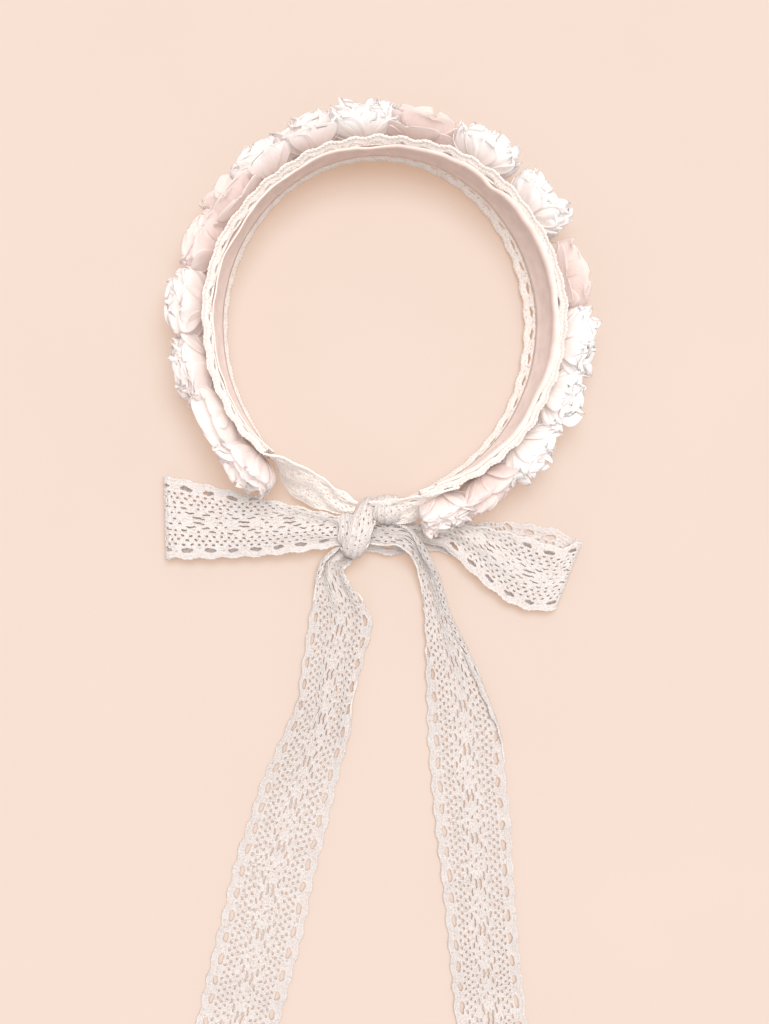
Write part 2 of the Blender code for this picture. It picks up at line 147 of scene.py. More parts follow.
RIGHT_TAIL_ROWS = (
    ((-0.0100, -0.1065, 0.0110), (-0.0100, -0.0975, 0.0120), 0.0006, 0.002, 0.002),
    ((-0.0015, -0.1078, 0.0128), (0.0000, -0.0968, 0.0138), 0.0008, 0.003, 0.003),
    ((0.0060, -0.1082, 0.0138), (0.0095, -0.0982, 0.0148), 0.0010, 0.004, 0.004),
    ((0.0104, -0.1106, 0.0135), (0.0172, -0.1048, 0.0145), 0.0014, 0.004, 0.006),
    ((0.0147, -0.1150, 0.0090), (0.0232, -0.1148, 0.0100), 0.0022, 0.004, 0.007),
    ((0.0170, -0.1225, 0.0050), (0.0272, -0.1232, 0.0060), 0.0022, 0.004, 0.007),
    ((0.0190, -0.1318, 0.0030), (0.0303, -0.1340, 0.0040), 0.0022, 0.003, 0.007),
    ((0.0198, -0.1425, 0.0020), (0.0335, -0.1440, 0.0025), 0.0024, 0.001, 0.007),
    ((0.0202, -0.1560, 0.0015), (0.0388, -0.1550, 0.0020), 0.0022, 0.0, 0.007),
    ((0.0204, -0.1738, 0.0010), (0.0466, -0.1715, 0.0015), 0.0016, 0.0, 0.007),
    ((0.0208, -0.1908, 0.0010), (0.0532, -0.1885, 0.0012), 0.0010, 0.0, 0.006),
    ((0.0213, -0.2068, 0.0010), (0.0580, -0.2040, 0.0010), 0.0007, 0.0, 0.004),
    ((0.0233, -0.2308, 0.0010), (0.0612, -0.2275, 0.0010), 0.0008, 0.0, 0.0),
    ((0.0250, -0.2500, 0.0010), (0.0634, -0.2455, 0.0010), 0.0006, 0.0, 0.0),
    ((0.0283, -0.2758, 0.0010), (0.0646, -0.2715, 0.0010), 0.0008, 0.0, 0.0),
    ((0.0323, -0.3158, 0.0010), (0.0676, -0.3115, 0.0010), 0.0009, 0.0, 0.0),
    ((0.0353, -0.3478, 0.0010), (0.0710, -0.3435, 0.0010), 0.0008, 0.0, 0.0),
    ((0.0425, -0.4160, 0.0010), (0.0785, -0.4110, 0.0010), 0.0006, 0.0, 0.0),
)
# Loop rows run out from the knot along the lower layer, then back along the upper one.
LEFT_LOOP_LOWER = (
    ((-0.0180, -0.0985, 0.0060), (-0.0180, -0.1060, 0.0050), 0.0015, 0.0, 0.0),
    ((-0.0300, -0.0940, 0.0035), (-0.0300, -0.1075, 0.0030), 0.0014, 0.0, 0.0),
    ((-0.0450, -0.0895, 0.0018), (-0.0450, -0.1105, 0.0015), 0.0008, 0.0, 0.0),
    ((-0.0700, -0.0830, 0.0012), (-0.0700, -0.1130, 0.0010), 0.0004, 0.0, 0.0),
    ((-0.0900, -0.0780, 0.0010), (-0.0900, -0.1140, 0.0010), 0.0, 0.0, 0.0),
    ((-0.1055, -0.0742, 0.0010), (-0.1045, -0.1150, 0.0010), 0.0, 0.0, 0.0),
)
LEFT_LOOP_UPPER = (
    ((-0.1062, -0.0738, 0.0078), (-0.1052, -0.1154, 0.0078), 0.0, 0.0, 0.0),
    ((-0.0940, -0.0766, 0.0086), (-0.0930, -0.1156, 0.0080), 0.0003, 0.0, 0.0),
    ((-0.0790, -0.0800, 0.0098), (-0.0780, -0.1150, 0.0084), 0.0006, 0.0, 0.0),
    ((-0.0615, -0.0842, 0.0112), (-0.0610, -0.1140, 0.0090), 0.0010, 0.0, 0.0),
    ((-0.0450, -0.0880, 0.0122), (-0.0450, -0.1122, 0.0096), 0.0014, 0.0, 0.0),
    ((-0.0300, -0.0915, 0.0128), (-0.0300, -0.1100, 0.0100), 0.0018, 0.0, 0.0),
    ((-0.0180, -0.0940, 0.0130), (-0.0180, -0.1082, 0.0105), 0.0020, 0.0, 0.0),
)
RIGHT_LOOP_LOWER = (
    ((-0.0150, -0.0985, 0.0060), (-0.0150, -0.1080, 0.0055), 0.0012, 0.0, 0.0),
    ((-0.0060, -0.0975, 0.0052), (-0.0060, -0.1122, 0.0048), 0.0016, 0.0, 0.0),
    ((0.0080, -0.0972, 0.0045), (0.0080, -0.1132, 0.0040), 0.0014, 0.0, 0.0),
    ((0.0200, -0.0970, 0.0030), (0.0180, -0.1105, 0.0026), 0.0012, 0.0, 0.0),
    ((0.0474, -0.0968, 0.0018), (0.0400, -0.1160, 0.0014), 0.0008, 0.0, 0.0),
    ((0.0620, -0.0966, 0.0014), (0.0500, -0.1255, 0.0010), 0.0004, 0.0, 0.0),
    ((0.0760, -0.0980, 0.0012), (0.0630, -0.1352, 0.0010), 0.0, 0.0, 0.0),
    ((0.0875, -0.1005, 0.0010), (0.0740, -0.1390, 0.0010), 0.0, 0.0, 0.0),
    ((0.0945, -0.1052, 0.0010), (0.0812, -0.1405, 0.0010), 0.0, 0.0, 0.0),
)
RIGHT_LOOP_UPPER = (
    ((0.0950, -0.1064, 0.0078), (0.0815, -0.1408, 0.0078), 0.0, 0.0, 0.0),
    ((0.0870, -0.1090, 0.0090), (0.0735, -0.1410, 0.0080), 0.0006, 0.0, 0.0),
    ((0.0740, -0.1048, 0.0105), (0.0625, -0.1376, 0.0084), 0.0010, 0.0, 0.0),
    ((0.0600, -0.1012, 0.0118), (0.0495, -0.1280, 0.0088), 0.0014, 0.0, 0.0),
    ((0.0474, -0.0988, 0.0125), (0.0395, -0.1188, 0.0092), 0.0016, 0.0, 0.0),
    ((0.0330, -0.0978, 0.0122), (0.0295, -0.1102, 0.0092), 0.0018, 0.0, 0.0),
    ((0.0176, -0.0975, 0.0112), (0.0165, -0.1068, 0.0088), 0.0012, 0.0, 0.0),
    ((0.0060, -0.0965, 0.0105), (0.0060, -0.1066, 0.0085), 0.0008, 0.0, 0.0),
    ((-0.0065, -0.0962, 0.0100), (-0.0065, -0.1075, 0.0085), 0.0006, 0.0, 0.0),
)
LEFT_LEAD_ROWS = (
    ((-0.0510, -0.0765, 0.0060), (-0.0478, -0.0662, 0.0380), 0.0003, 0.0, 0.0),
    ((-0.0428, -0.0858, 0.0085), (-0.0353, -0.0722, 0.0315), 0.0006, 0.0, 0.0),
    ((-0.0310, -0.0912, 0.0105), (-0.0240, -0.0798, 0.0260), 0.0010, 0.0, 0.0),
    ((-0.0165, -0.0950, 0.0125), (-0.0130, -0.0870, 0.0215), 0.0014, 0.0, 0.0),
)
RIGHT_LEAD_ROWS = (
    ((-0.0075, -0.0965, 0.0150), (-0.0075, -0.0868, 0.0230), 0.0010, 0.0, 0.0),
    ((0.0015, -0.0975, 0.0170), (0.0020, -0.0858, 0.0275), 0.0010, 0.0, 0.0),
    ((0.0110, -0.0975, 0.0180), (0.0120, -0.0850, 0.0355), 0.0006, 0.0, 0.0),
    ((0.0205, -0.0920, 0.0110), (0.0215, -0.0838, 0.0395), 0.0004, 0.0, 0.0),
)


# ---------------------------------------------------------------- settings
class CrownLace(bpy.types.PropertyGroup):
    """The lace that the band and the bow are made of."""

    width: bpy.props.FloatProperty(
        name="Lace width", description="From scallop to scallop",
        default=40 * MM, unit="LENGTH",
    )
    cell: bpy.props.FloatProperty(
        name="Mesh cell", description="Size of one face of the lace's mesh",
        default=0.52 * MM, unit="LENGTH",
    )
    thickness: bpy.props.FloatProperty(
        name="Cord thickness", description="Thickness of the lace at its cords",
        default=1.1 * MM, unit="LENGTH",
    )
    scallop_pitch: bpy.props.FloatProperty(
        name="Scallop pitch", description="Length of one scallop of the edge",
        default=11.25 * MM, unit="LENGTH",
    )
    scallop_depth: bpy.props.FloatProperty(
        name="Scallop depth", description="How far the edge dips between scallops",
        default=1.4 * MM, unit="LENGTH",
    )
    thread: bpy.props.FloatVectorProperty(
        name="Thread", description="Colour of the cotton thread",
        default=(0.765, 0.722, 0.712), subtype="COLOR", size=3,
    )
    edge: bpy.props.FloatVectorProperty(
        name="Edge cord", description="Colour of the cord along the scallops",
        default=(0.93, 0.88, 0.845), subtype="COLOR", size=3,
    )
    # Painted shade: this colour is mixed in between the stitches, where shade falls.
    crevice_shade: bpy.props.FloatVectorProperty(
        name="Between threads", description="Colour between the threads",
        default=(0.50, 0.42, 0.37), subtype="COLOR", size=3,
    )
    # Painted light: an emission glow in the lace's own colour, standing in for light coming through
    # the loose stitches off the floor.
    glow: bpy.props.FloatProperty(
        name="Glow", description="Light that comes through the loose stitches off the floor",
        default=0.12, subtype="FACTOR",
    )
    # Painted light: a stronger emission glow for the upright band, which takes less light.
    band_glow: bpy.props.FloatProperty(
        name="Band glow", description="The same for the band, which stands upright",
        default=0.26, subtype="FACTOR",
    )


class CrownLining(bpy.types.PropertyGroup):
    """The soft ribbon inside the band and the net tape outside it."""

    width: bpy.props.FloatProperty(
        name="Lining width", description="Width of the lining ribbon",
        default=28 * MM, unit="LENGTH",
    )
    top_margin: bpy.props.FloatProperty(
        name="Top margin", description="How far the lining lies below the lace's upper edge",
        default=3.8 * MM, unit="LENGTH",
    )
    gape: bpy.props.FloatProperty(
        name="Gape", description="How far the lining stands off between its stitches",
        default=3.0 * MM, unit="LENGTH",
    )
    tape_width: bpy.props.FloatProperty(
        name="Tape width", description="Width of the net tape that holds the flowers",
        default=12 * MM, unit="LENGTH",
    )
    colour: bpy.props.FloatVectorProperty(
        name="Lining", description="Colour of the lining ribbon",
        default=(0.915, 0.760, 0.705), subtype="COLOR", size=3,
    )
    tape_colour: bpy.props.FloatVectorProperty(
        name="Tape", description="Colour of the net tape",
        default=(0.78, 0.72, 0.67), subtype="COLOR", size=3,
    )


class CrownFlowers(bpy.types.PropertyGroup):
    """The chiffon flowers."""

    height_share: bpy.props.FloatProperty(
        name="Height", description="Where the flowers sit, as a share of the band's width",
        default=0.59, subtype="FACTOR",
    )
    seat: bpy.props.FloatProperty(
        name="Seat", description="How far a flower's base stands off the band's middle",
        default=1.6 * MM, unit="LENGTH",
    )
    petal_thickness: bpy.props.FloatProperty(
        name="Petal thickness", description="Thickness of the chiffon",
        default=0.22 * MM, unit="LENGTH",
    )
    white: bpy.props.FloatVectorProperty(
        name="White chiffon", description="Colour of the white flowers",
        default=(0.95, 0.93, 0.925), subtype="COLOR", size=3,
    )
    blush: bpy.props.FloatVectorProperty(
        name="Blush chiffon", description="Colour of the blush flowers",
        default=(0.90, 0.83, 0.81), subtype="COLOR", size=3,
    )
    rose: bpy.props.FloatVectorProperty(
        name="Rose chiffon", description="Colour of the beige roses",
        default=(0.88, 0.805, 0.78), subtype="COLOR", size=3,
    )
    # Painted light: an emission glow in the petals' colour, standing in for the light the thin petals
    # pass on to each other.
    glow: bpy.props.FloatProperty(
        name="Glow", description="Light that the thin petals pass on to each other",
        default=0.17, subtype="FACTOR",
    )


class CrownStage(bpy.types.PropertyGroup):
    """The floor, the lights and the camera."""

    floor: bpy.props.FloatVectorProperty(
        name="Floor", description="Colour of the floor",
        default=(0.962, 0.788, 0.695), subtype="COLOR", size=3,
    )
    backlight: bpy.props.FloatVectorProperty(
        name="Floor light", description="The share of each colour that stays in full shade",
        default=(0.47, 0.32, 0.21), subtype="COLOR", size=3,
    )
    key: bpy.props.FloatProperty(
        name="Key light", description="Strength of the wide light overhead", default=4.5,
    )
    softness: bpy.props.FloatProperty(
        name="Softness", description="How wide the light overhead looks from the floor",
        default=np.radians(38), subtype="ANGLE",
    )
    fill: bpy.props.FloatProperty(
        name="Fill", description="Strength of the light from all round", default=0.70,
    )
    camera_height: bpy.props.FloatProperty(
        name="Camera height", description="Height of the camera over the floor",
        default=0.740, unit="LENGTH",
    )
    camera_y: bpy.props.FloatProperty(
        name="Camera Y", description="Where the camera stands along the tails",
        default=-0.0918, unit="LENGTH",
    )
    lens: bpy.props.FloatProperty(
        name="Lens", description="Focal length of the camera in millimetres", default=52.03,
    )


# ---------------------------------------------------------------- numbers and meshes
def along_curve(points, shares):
    """Points on a smooth curve through given ones, at shares of its chord length.

    Each stretch is the Catmull-Rom cubic through its two ends and their neighbours.
    """
    points = np.asarray(points, float)
    chords = np.linalg.norm(np.diff(points[:, :3], axis=0), axis=1)
    reach = np.concatenate([[0.0], np.cumsum(chords)])
    place = np.interp(np.asarray(shares) * reach[-1], reach, np.arange(len(points)))
    k = np.clip(place.astype(int), 0, len(points) - 2)
    t = (place - k)[:, None]
    padded = np.vstack([2 * points[0] - points[1], points, 2 * points[-1] - points[-2]])
    a, b, c, d = padded[k], padded[k + 1], padded[k + 2], padded[k + 3]
    cubic = 3 * b - a - 3 * c + d
    return (2 * b + (c - a) * t + (2 * a - 5 * b + 4 * c - d) * t**2 + cubic * t**3) / 2


def unit(vectors):
    """Vectors at length one."""
    return vectors / np.maximum(np.linalg.norm(vectors, axis=-1, keepdims=True), 1e-12)


def grid_faces(rows, columns):
    """Four-cornered faces of a grid of points, row by row."""
    corner = np.arange((rows - 1) * columns).reshape(rows - 1, columns)[:, :-1]
    return np.stack([corner, corner + 1, corner + columns + 1, corner + columns], -1).reshape(-1, 4)


def add_piece(name, points, faces, finish, uv, body=None):
    """Make an object from points and four-cornered faces, with a UV for each point."""
    mesh = bpy.data.meshes.new(name)
    mesh.vertices.add(len(points))
    mesh.vertices.foreach_set("co", np.asarray(points, np.float32).ravel())
    mesh.loops.add(faces.size)
    mesh.loops.foreach_set("vertex_index", faces.ravel().astype(np.int32))
    mesh.polygons.add(len(faces))
    mesh.polygons.foreach_set("loop_start", np.arange(0, faces.size, 4, dtype=np.int32))
    mesh.update(calc_edges=True)
    layer = mesh.uv_layers.new(name="UVMap")
    layer.data.foreach_set("uv", uv[faces.ravel()].astype(np.float32).ravel())
    mesh.shade_smooth()
    mesh.materials.append(finish)
    made = bpy.data.objects.new(name, mesh)
    bpy.context.scene.collection.objects.link(made)
    if body:
        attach(made, body)
    return made


def point_values(made, name, values):
    """Store a number for each point, for the materials to read."""
    attribute = made.data.attributes.new(name, "FLOAT", "POINT")
    attribute.data.foreach_set("value", values.astype(np.float32))


def thicken(made, thickness, group=""):
    """Give a surface a closed wall, centred on it, scaled by a vertex group if named."""
    wall = made.modifiers.new("Wall", "SOLIDIFY")
    wall.thickness = thickness
    wall.offset = 0.0
    wall.use_even_offset = False
    if group:
        wall.vertex_group = group


def faces_area(points, faces):
    """The area of all the faces, each as two triangles."""
    a, b, c, d = (points[faces[:, i]] for i in range(4))
    first = np.linalg.norm(np.cross(b - a, c - a), axis=1)
    second = np.linalg.norm(np.cross(c - a, d - a), axis=1)
    return float((first + second).sum() / 2)


# ---------------------------------------------------------------- lace
# Rows of oval holes in one repeat: distance from the middle, half sizes across and along,
# pitch in scallops, and where along the repeat a row starts, in scallops.
EYELET = (15.2, 1.15, 2.85, 1.0, 0.5)
NET_HOLES = (
    (12.35, 0.60, 0.85, 1 / 3, 0.0),
    (10.1, 0.60, 0.85, 1 / 3, 1 / 6),
    (7.9, 0.55, 0.85, 1 / 3, 0.0),
)
SLITS = (
    (1.25, 0.48, 3.2, 2.0, 0.0),
    (3.5, 0.42, 2.3, 2.0, 0.36),
    (3.5, 0.42, 2.3, 2.0, 1.64),
    (5.4, 0.42, 1.7, 2.0, 0.62),
    (5.4, 0.42, 1.7, 2.0, 1.38),
    (5.7, 0.52, 0.85, 2.0, 0.0),
    (5.6, 0.50, 0.80, 2.0, 1.0),
    (0.0, 0.42, 1.10, 2.0, 1.0),
    (2.6, 0.40, 0.90, 2.0, 0.80),
    (2.6, 0.40, 0.90, 2.0, 1.20),
)


def hole_depth(u, v, pitch):
    """How deep a point lies inside the nearest hole, and minus how far outside.

    Each row repeats an oval: one minus the distance in half sizes, times the smaller half.
    """
    sway = 0.22 * MM * np.sin(TURN * v / (7.3 * MM) + 90.0 * u) + 0.15 * MM * np.sin(1900 * v)
    drift = 0.25 * MM * np.sin(TURN * u / (9.1 * MM) + 260.0 * v)
    deepest = np.full(u.shape, -1.0)
    for middle, half_u, half_v, scallops, start in (EYELET, *NET_HOLES, *SLITS):
        repeat = scallops * pitch
        along = (v + drift - start * pitch + repeat / 2) % repeat - repeat / 2
        across = np.abs(u + sway) - middle * MM
        oval = 1 - np.hypot(across / (half_u * MM), along / (half_v * MM))
        deepest = np.maximum(deepest, oval * min(half_u, half_v) * MM)
    return deepest


def cut_lace(length, start, lace, showing, aside, cell, tight):
    """Flat lace as points (u across, v along), faces with the holes left out, and cords.

    Faces whose middle is inside a hole go. Corners round a hole slide to its rim, by one
    Newton step along the slope of the hole's depth. Where the lace is gathered, only the
    share of its width given by showing lies outside, drawn aside from its middle line as
    the rest is tucked in. Where it is pulled tight, the holes draw in by that much.
    """

    def depth_at(u, v):
        shown = showing((v - start) / length)
        return hole_depth(u * shown + aside * (1 - shown), v, lace.scallop_pitch) - tight

    columns = round(lace.width / cell) + 1
    rows = max(3, round(length / cell) + 1)
    u, v = np.meshgrid(
        np.linspace(-lace.width / 2, lace.width / 2, columns), np.linspace(0, length, rows)
    )
    u, v = u.ravel(), v.ravel() + start
    faces = grid_faces(rows, columns)
    middle_u, middle_v = u[faces].mean(1), v[faces].mean(1)
    inside = depth_at(middle_u, middle_v) > 0
    touched = np.zeros(len(u), bool)
    touched[faces[inside].ravel()] = True
    faces = faces[~inside]
    kept = np.zeros(len(u), bool)
    kept[faces.ravel()] = True
    rim = touched & kept
    step = 0.02 * MM
    depth = depth_at(u[rim], v[rim])
    slope_u = (depth_at(u[rim] + step, v[rim]) - depth) / step
    slope_v = (depth_at(u[rim], v[rim] + step) - depth) / step
    steep = np.maximum(slope_u**2 + slope_v**2, 0.05)
    slide_u, slide_v = -depth * slope_u / steep, -depth * slope_v / steep
    size = np.hypot(slide_u, slide_v)
    held = np.minimum(1.0, 0.48 * cell / np.maximum(size, 1e-9))
    u[rim] += slide_u * held
    v[rim] += slide_v * held
    number = np.cumsum(kept) - 1
    u, v, faces = u[kept], v[kept], number[faces]
    outside = np.maximum(0.0, -depth_at(u, v))
    from_edge = (lace.width / 2 - np.abs(u)) * showing((v - start) / length)
    cords = np.exp(-((outside / (0.42 * MM)) ** 2)) * 0.75
    for distance, strength in ((0.35, 1.0), (1.6, 0.7), (2.7, 0.8), (6.55, 0.7)):
        cords = np.maximum(cords, strength * np.exp(-(((from_edge / MM - distance) / 0.45) ** 2)))
    return u, v, faces, cords


def scalloped(u, v, lace, shown):
    """The edge's scallops: it dips in between eyelets as a cosine along v, with ripples."""
    turn = TURN * v / lace.scallop_pitch
    dip = lace.scallop_depth / shown * (0.5 + 0.4 * np.cos(turn) + 0.1 * np.cos(4 * turn))
    return u - np.sign(u) * dip * (np.abs(u) * 2 / lace.width) ** 5


def edge_rope(name, place, length, start, radius, showing, finish):
    """Two strands twisted together along both edges of a piece of lace.

    Each strand is a round tube whose middle circles the edge as a helix.
    """
    lace = bpy.context.scene.crown_lace
    turns = max(2, round(length / (4.2 * radius)))
    steps, sides = turns * 8 + 1, 6
    share = np.linspace(0, 1, steps)
    around = np.linspace(0, TURN, sides, endpoint=False)
    points, faces, uvs = [], [], []
    for edge in (-1, 1):
        u = np.full(steps, edge * (lace.width / 2 - 0.4 * MM))
        u = scalloped(u, share * length + start, lace, showing(share))
        middle, normal = place(u, share)
        along = unit(np.gradient(middle, axis=0))
        across = unit(np.cross(normal, along))
        normal = np.cross(along, across)
        for phase in (0, np.pi):
            twist = TURN * turns * share + phase
            helix = across * np.cos(twist)[:, None] + normal * np.sin(twist)[:, None]
            core = middle + helix * radius * 0.38
            tube = (
                across[:, None] * np.cos(around)[None, :, None]
                + normal[:, None] * np.sin(around)[None, :, None]
            )
            ring = core[:, None] + tube * radius * 0.64
            grid = np.arange(steps * sides).reshape(steps, sides)
            turned = np.roll(grid, -1, axis=1)
            quads = np.stack([grid[:-1], turned[:-1], turned[1:], grid[1:]], -1).reshape(-1, 4)
            faces.append(quads + len(points) * steps * sides)
            points.append(ring.reshape(-1, 3))
            flat = np.stack(np.broadcast_arrays(around[None] * radius, (share * length)[:, None]), -1)
            uvs.append(flat.reshape(-1, 2) / MM)
    made = add_piece(
        name, np.concatenate(points), np.concatenate(faces), finish, np.concatenate(uvs), None,
    )
    point_values(made, "cord", np.ones(len(made.data.vertices)))
    return made


def all_of_it(share):
    """The whole width shows all along."""
    return np.ones_like(share)


def lace_piece(
    name, place, length, finish, body, start=0.0, rope=0.62 * MM, showing=all_of_it, aside=0.0,
    coarser=1.0, tight=0.0,
):
    """A piece of lace put into space by place(u, v), with a twisted cord along its edges."""
    lace = bpy.context.scene.crown_lace
    u, v, faces, cords = cut_lace(
        length, start, lace, showing, aside, coarser * lace.cell, tight
    )
    shown = showing((v - start) / length)
    points, normals = place(scalloped(u, v, lace, shown), (v - start) / length)
    u = u * shown
    ribs = 0.10 * MM * np.sin(TURN * v / (1.7 * MM)) * np.cos(TURN * u / (2.6 * MM))
    points = points + normals * (ribs * (1 - cords) + 0.22 * MM * cords)[:, None]
    uv = np.stack([u, v], 1) / MM
    made = add_piece(name, points, faces, finish, uv, None)
    group = made.vertex_groups.new(name="cords")
    for level in range(8):
        members = np.flatnonzero((cords * 7.999).astype(int) == level)
        group.add(members.tolist(), 0.5 + 0.5 * (level + 0.5) / 8, "REPLACE")
    point_values(made, "cord", cords)
    thicken(made, lace.thickness, "cords")
    flat = np.stack([u, v, np.zeros_like(u)], 1)
    cord = "cotton_band_cord_lit" if finish.name == "cotton_band_thread_lit" else "cotton_edge_cord"
    cord = bpy.data.materials[cord]
    edging = edge_rope(f"{name}_edging", place, length, start, rope, showing, cord)
    for piece in (made, edging):
        if body:
            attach(piece, body)
    return made, edging, faces_area(flat, faces)


# A ribbon's edge that rolls bends round this radius, and fully once it rolls by FULL_ROLL.
ROLL_RADIUS = 1.5 * MM
FULL_ROLL = 2 * MM
LEAST_ROLL = 1e-5
# How far the cord may stand past the edge, and the least share of a row's scallops shown.
PAST_EDGE = 0.6 * MM
FEWEST_SHOWN = 0.28


def ribbon_place(rows, width, pleats, lean_up=True):
    """A placing function for a ribbon between two smooth edge curves, its length, and how
    much of its width shows along it.

    Across a row, the ribbon's edges roll over small rounds, and its middle rises in soft
    pleats as a cosine.
    """
    first = [row[0] for row in rows]
    second = [row[1] for row in rows]
    extra = [row[2:] for row in rows]
    middles = (np.array(first) + np.array(second)) / 2
    both = np.hstack([middles, first, second, extra])

    def at(shares):
        found = along_curve(both, shares)
        return found[:, 3:6], found[:, 6:9], found[:, 9:]

    def place(u, share):
        low, high, more = at(share)
        ahead_low, ahead_high, _ = at(np.clip(share + 0.002, 0, 1))
        behind_low, behind_high, _ = at(np.clip(share - 0.002, 0, 1))
        along = unit(ahead_low + ahead_high - behind_low - behind_high)
        gap = high - low
        reach = np.linalg.norm(gap, axis=1)
        across = unit(gap)
        normals = unit(np.cross(across, along))
        if lean_up:
            normals *= np.where(normals[:, 2] < 0, -1.0, 1.0)[:, None]
        part = np.clip(u / width + 0.5, -0.02, 1.02)
        rolls_low, rolls_high = np.maximum(more[:, 1], 0), np.maximum(more[:, 2], 0)
        radius = ROLL_RADIUS
        low_rolls, high_rolls = rolls_low > LEAST_ROLL, rolls_high > LEAST_ROLL
        inset_low = radius * np.clip(rolls_low / FULL_ROLL, 0, 1)
        inset_high = radius * np.clip(rolls_high / FULL_ROLL, 0, 1)
        level = reach - inset_low - inset_high
        run = part * (level + rolls_low + rolls_high) - rolls_low
        under = np.minimum(run, 0) / radius * low_rolls
        over = np.maximum(run - level, 0) / radius * high_rolls
        x = inset_low + np.clip(run, -PAST_EDGE, level + PAST_EDGE)
        x = np.where(low_rolls, np.maximum(x, inset_low), x)
        x = np.where(high_rolls, np.minimum(x, inset_low + level), x)
        x = x + radius * (np.sin(under) + np.sin(over))
        z = radius * (2 - np.cos(under) - np.cos(over))
        flatness = np.clip(1 - (under**2 + over**2), 0, 1)
        wave = 0.5 - 0.5 * np.cos(TURN * pleats * part + 2.5 * np.sin(9 * share))
        z = z + np.maximum(more[:, 0], 0) * wave * flatness
        return low + across * x[:, None] + normals * z[:, None], normals

    stations = np.linspace(0, 1, 241)
    low, high, more = at(stations)
    wide = np.linalg.norm(high - low, axis=1) + np.maximum(more[:, 1:], 0).sum(1)
    shares = np.clip(1.2 * wide / width, FEWEST_SHOWN, 1.0)

    def showing(share):
        return np.interp(share, stations, shares)

    return place, float(np.linalg.norm(np.diff(middles, axis=0), axis=1).sum()), showing


def fold_rows(lower, upper, outwards, steps=7):
    """Rows for a loop: the lower layer, a half turn at the fold, and the upper layer."""
    low, high = lower[-1], upper[0]
    turned = []
    for bend in np.linspace(0, np.pi, steps + 2)[1:-1]:
        edges = []
        for k in (0, 1):
            a, b = np.array(low[k]), np.array(high[k])
            middle, half = (a + b) / 2, (b - a) / 2
            push = np.array((outwards, 0.0, 0.0)) * np.linalg.norm(half)
            edges.append(tuple(middle - half * np.cos(bend) + push * np.sin(bend)))
        turned.append((*edges, 0.0, 0.0, 0.0))
    return (*lower, *turned, *upper)


# ---------------------------------------------------------------- the ring's wall
def wall_at(degrees, share):
    """Points on the ring's wall at angles and at shares of its height, and the outward way.

    The upper edge is a circle and the foot an oval, with a straight slope between them.
    """
    turn = np.radians(degrees)
    foot_x = FOOT_SHIFT_X + FOOT_RADIUS_X * np.cos(turn)
    foot_y = FOOT_RADIUS_Y * np.sin(turn)
    uneven = 0.35 * MM * np.sin(7 * turn + 1.0) + 0.25 * MM * np.sin(17 * turn)
    uneven = uneven + 0.20 * MM * np.sin(48 * turn) * np.clip(share, 0, 1) ** 6
    top_x = (RING_RADIUS + uneven) * np.cos(turn)
    top_y = (RING_RADIUS + uneven) * np.sin(turn)
    foot = np.stack([foot_x, foot_y, np.full_like(turn, FOOT_OFF_FLOOR)], -1)
    top = np.stack([top_x, top_y, np.full_like(turn, RING_HEIGHT)], -1)
    along = np.stack([-np.sin(turn), np.cos(turn), np.zeros_like(turn)], -1)
    outwards = unit(np.cross(along, top - foot))
    side = 0.55 + 0.45 * np.exp(2.2 * (np.cos(turn - FOOT_CURL_TURN) - 1))
    from_end = np.minimum(degrees - BAND_FROM_DEG, BAND_TO_DEG - degrees)
    side = side * np.clip(from_end / 14, 0, 1)
    curl = FOOT_CURL * side * np.clip(1 - share / FOOT_CURL_SHARE, 0, 1) ** 1.5
    pinch = PINCH * np.exp(-(((share - PINCH_SHARE) / 0.09) ** 2))
    pinch = pinch - FLARE * np.clip((share - PINCH_SHARE) / (1 - PINCH_SHARE), 0, 1) ** 2
    points = foot + (top - foot) * share[..., None] - outwards * (curl + pinch)[..., None]
    points[..., 2] += FOOT_LIFT * curl
    return points, outwards


# ---------------------------------------------------------------- materials
def new_material(name, colour, roughness, sheen):
    """A Principled material with its own nodes, links and shader to hand."""
    made = bpy.data.materials.new(name)
    made.use_nodes = True
    nodes, links = made.node_tree.nodes, made.node_tree.links
    shader = nodes["Principled BSDF"]
    shader.inputs["Base Color"].default_value = (*colour, 1.0)
    shader.inputs["Roughness"].default_value = roughness
    shader.inputs["Sheen Weight"].default_value = sheen
    shader.inputs["Sheen Roughness"].default_value = 0.5
    return made, nodes, links, shader


def node(nodes, kind, settings=(), **values):
    """Add a node, set its properties and the sockets named with _ for a space."""
    made = nodes.new(kind)
    for key, value in dict(settings).items():
        setattr(made, key, value)
    for key, value in values.items():
        made.inputs[key.replace("_", " ")].default_value = value
    return made


def ramp(nodes, links, source, low, high, dark, light):
    """A colour ramp from dark to light between two values of a source socket."""
    made = nodes.new("ShaderNodeValToRGB")
    made.color_ramp.elements[0].position = low
    made.color_ramp.elements[0].color = (*dark, 1.0)
    made.color_ramp.elements[1].position = high
    made.color_ramp.elements[1].color = (*light, 1.0)
    links.new(source, made.inputs["Fac"])
    return made.outputs["Color"]


def blend_colours(nodes, links, how, first, second, amount):
    """Mix two colour sockets or colours by an amount, which may be a socket."""
    made = nodes.new("ShaderNodeMix")
    made.data_type = "RGBA"
    made.blend_type = how
    sockets = [s for s in made.inputs if s.type == "RGBA"]
    for socket, value in zip(sockets, (first, second)):
        if isinstance(value, bpy.types.NodeSocket):
            links.new(value, socket)
        else:
            socket.default_value = (*value, 1.0)
    if isinstance(amount, bpy.types.NodeSocket):
        links.new(amount, made.inputs["Factor"])
    else:
        made.inputs["Factor"].default_value = amount
    return next(s for s in made.outputs if s.type == "RGBA")


def uv_place(nodes):
    """The piece's own UV map."""
    made = nodes.new("ShaderNodeUVMap")
    made.uv_map = "UVMap"
    return made.outputs["UV"]


def point_value(nodes, name):
    """A number stored on the piece's points."""
    made = nodes.new("ShaderNodeAttribute")
    made.attribute_name = name
    return made.outputs["Fac"]


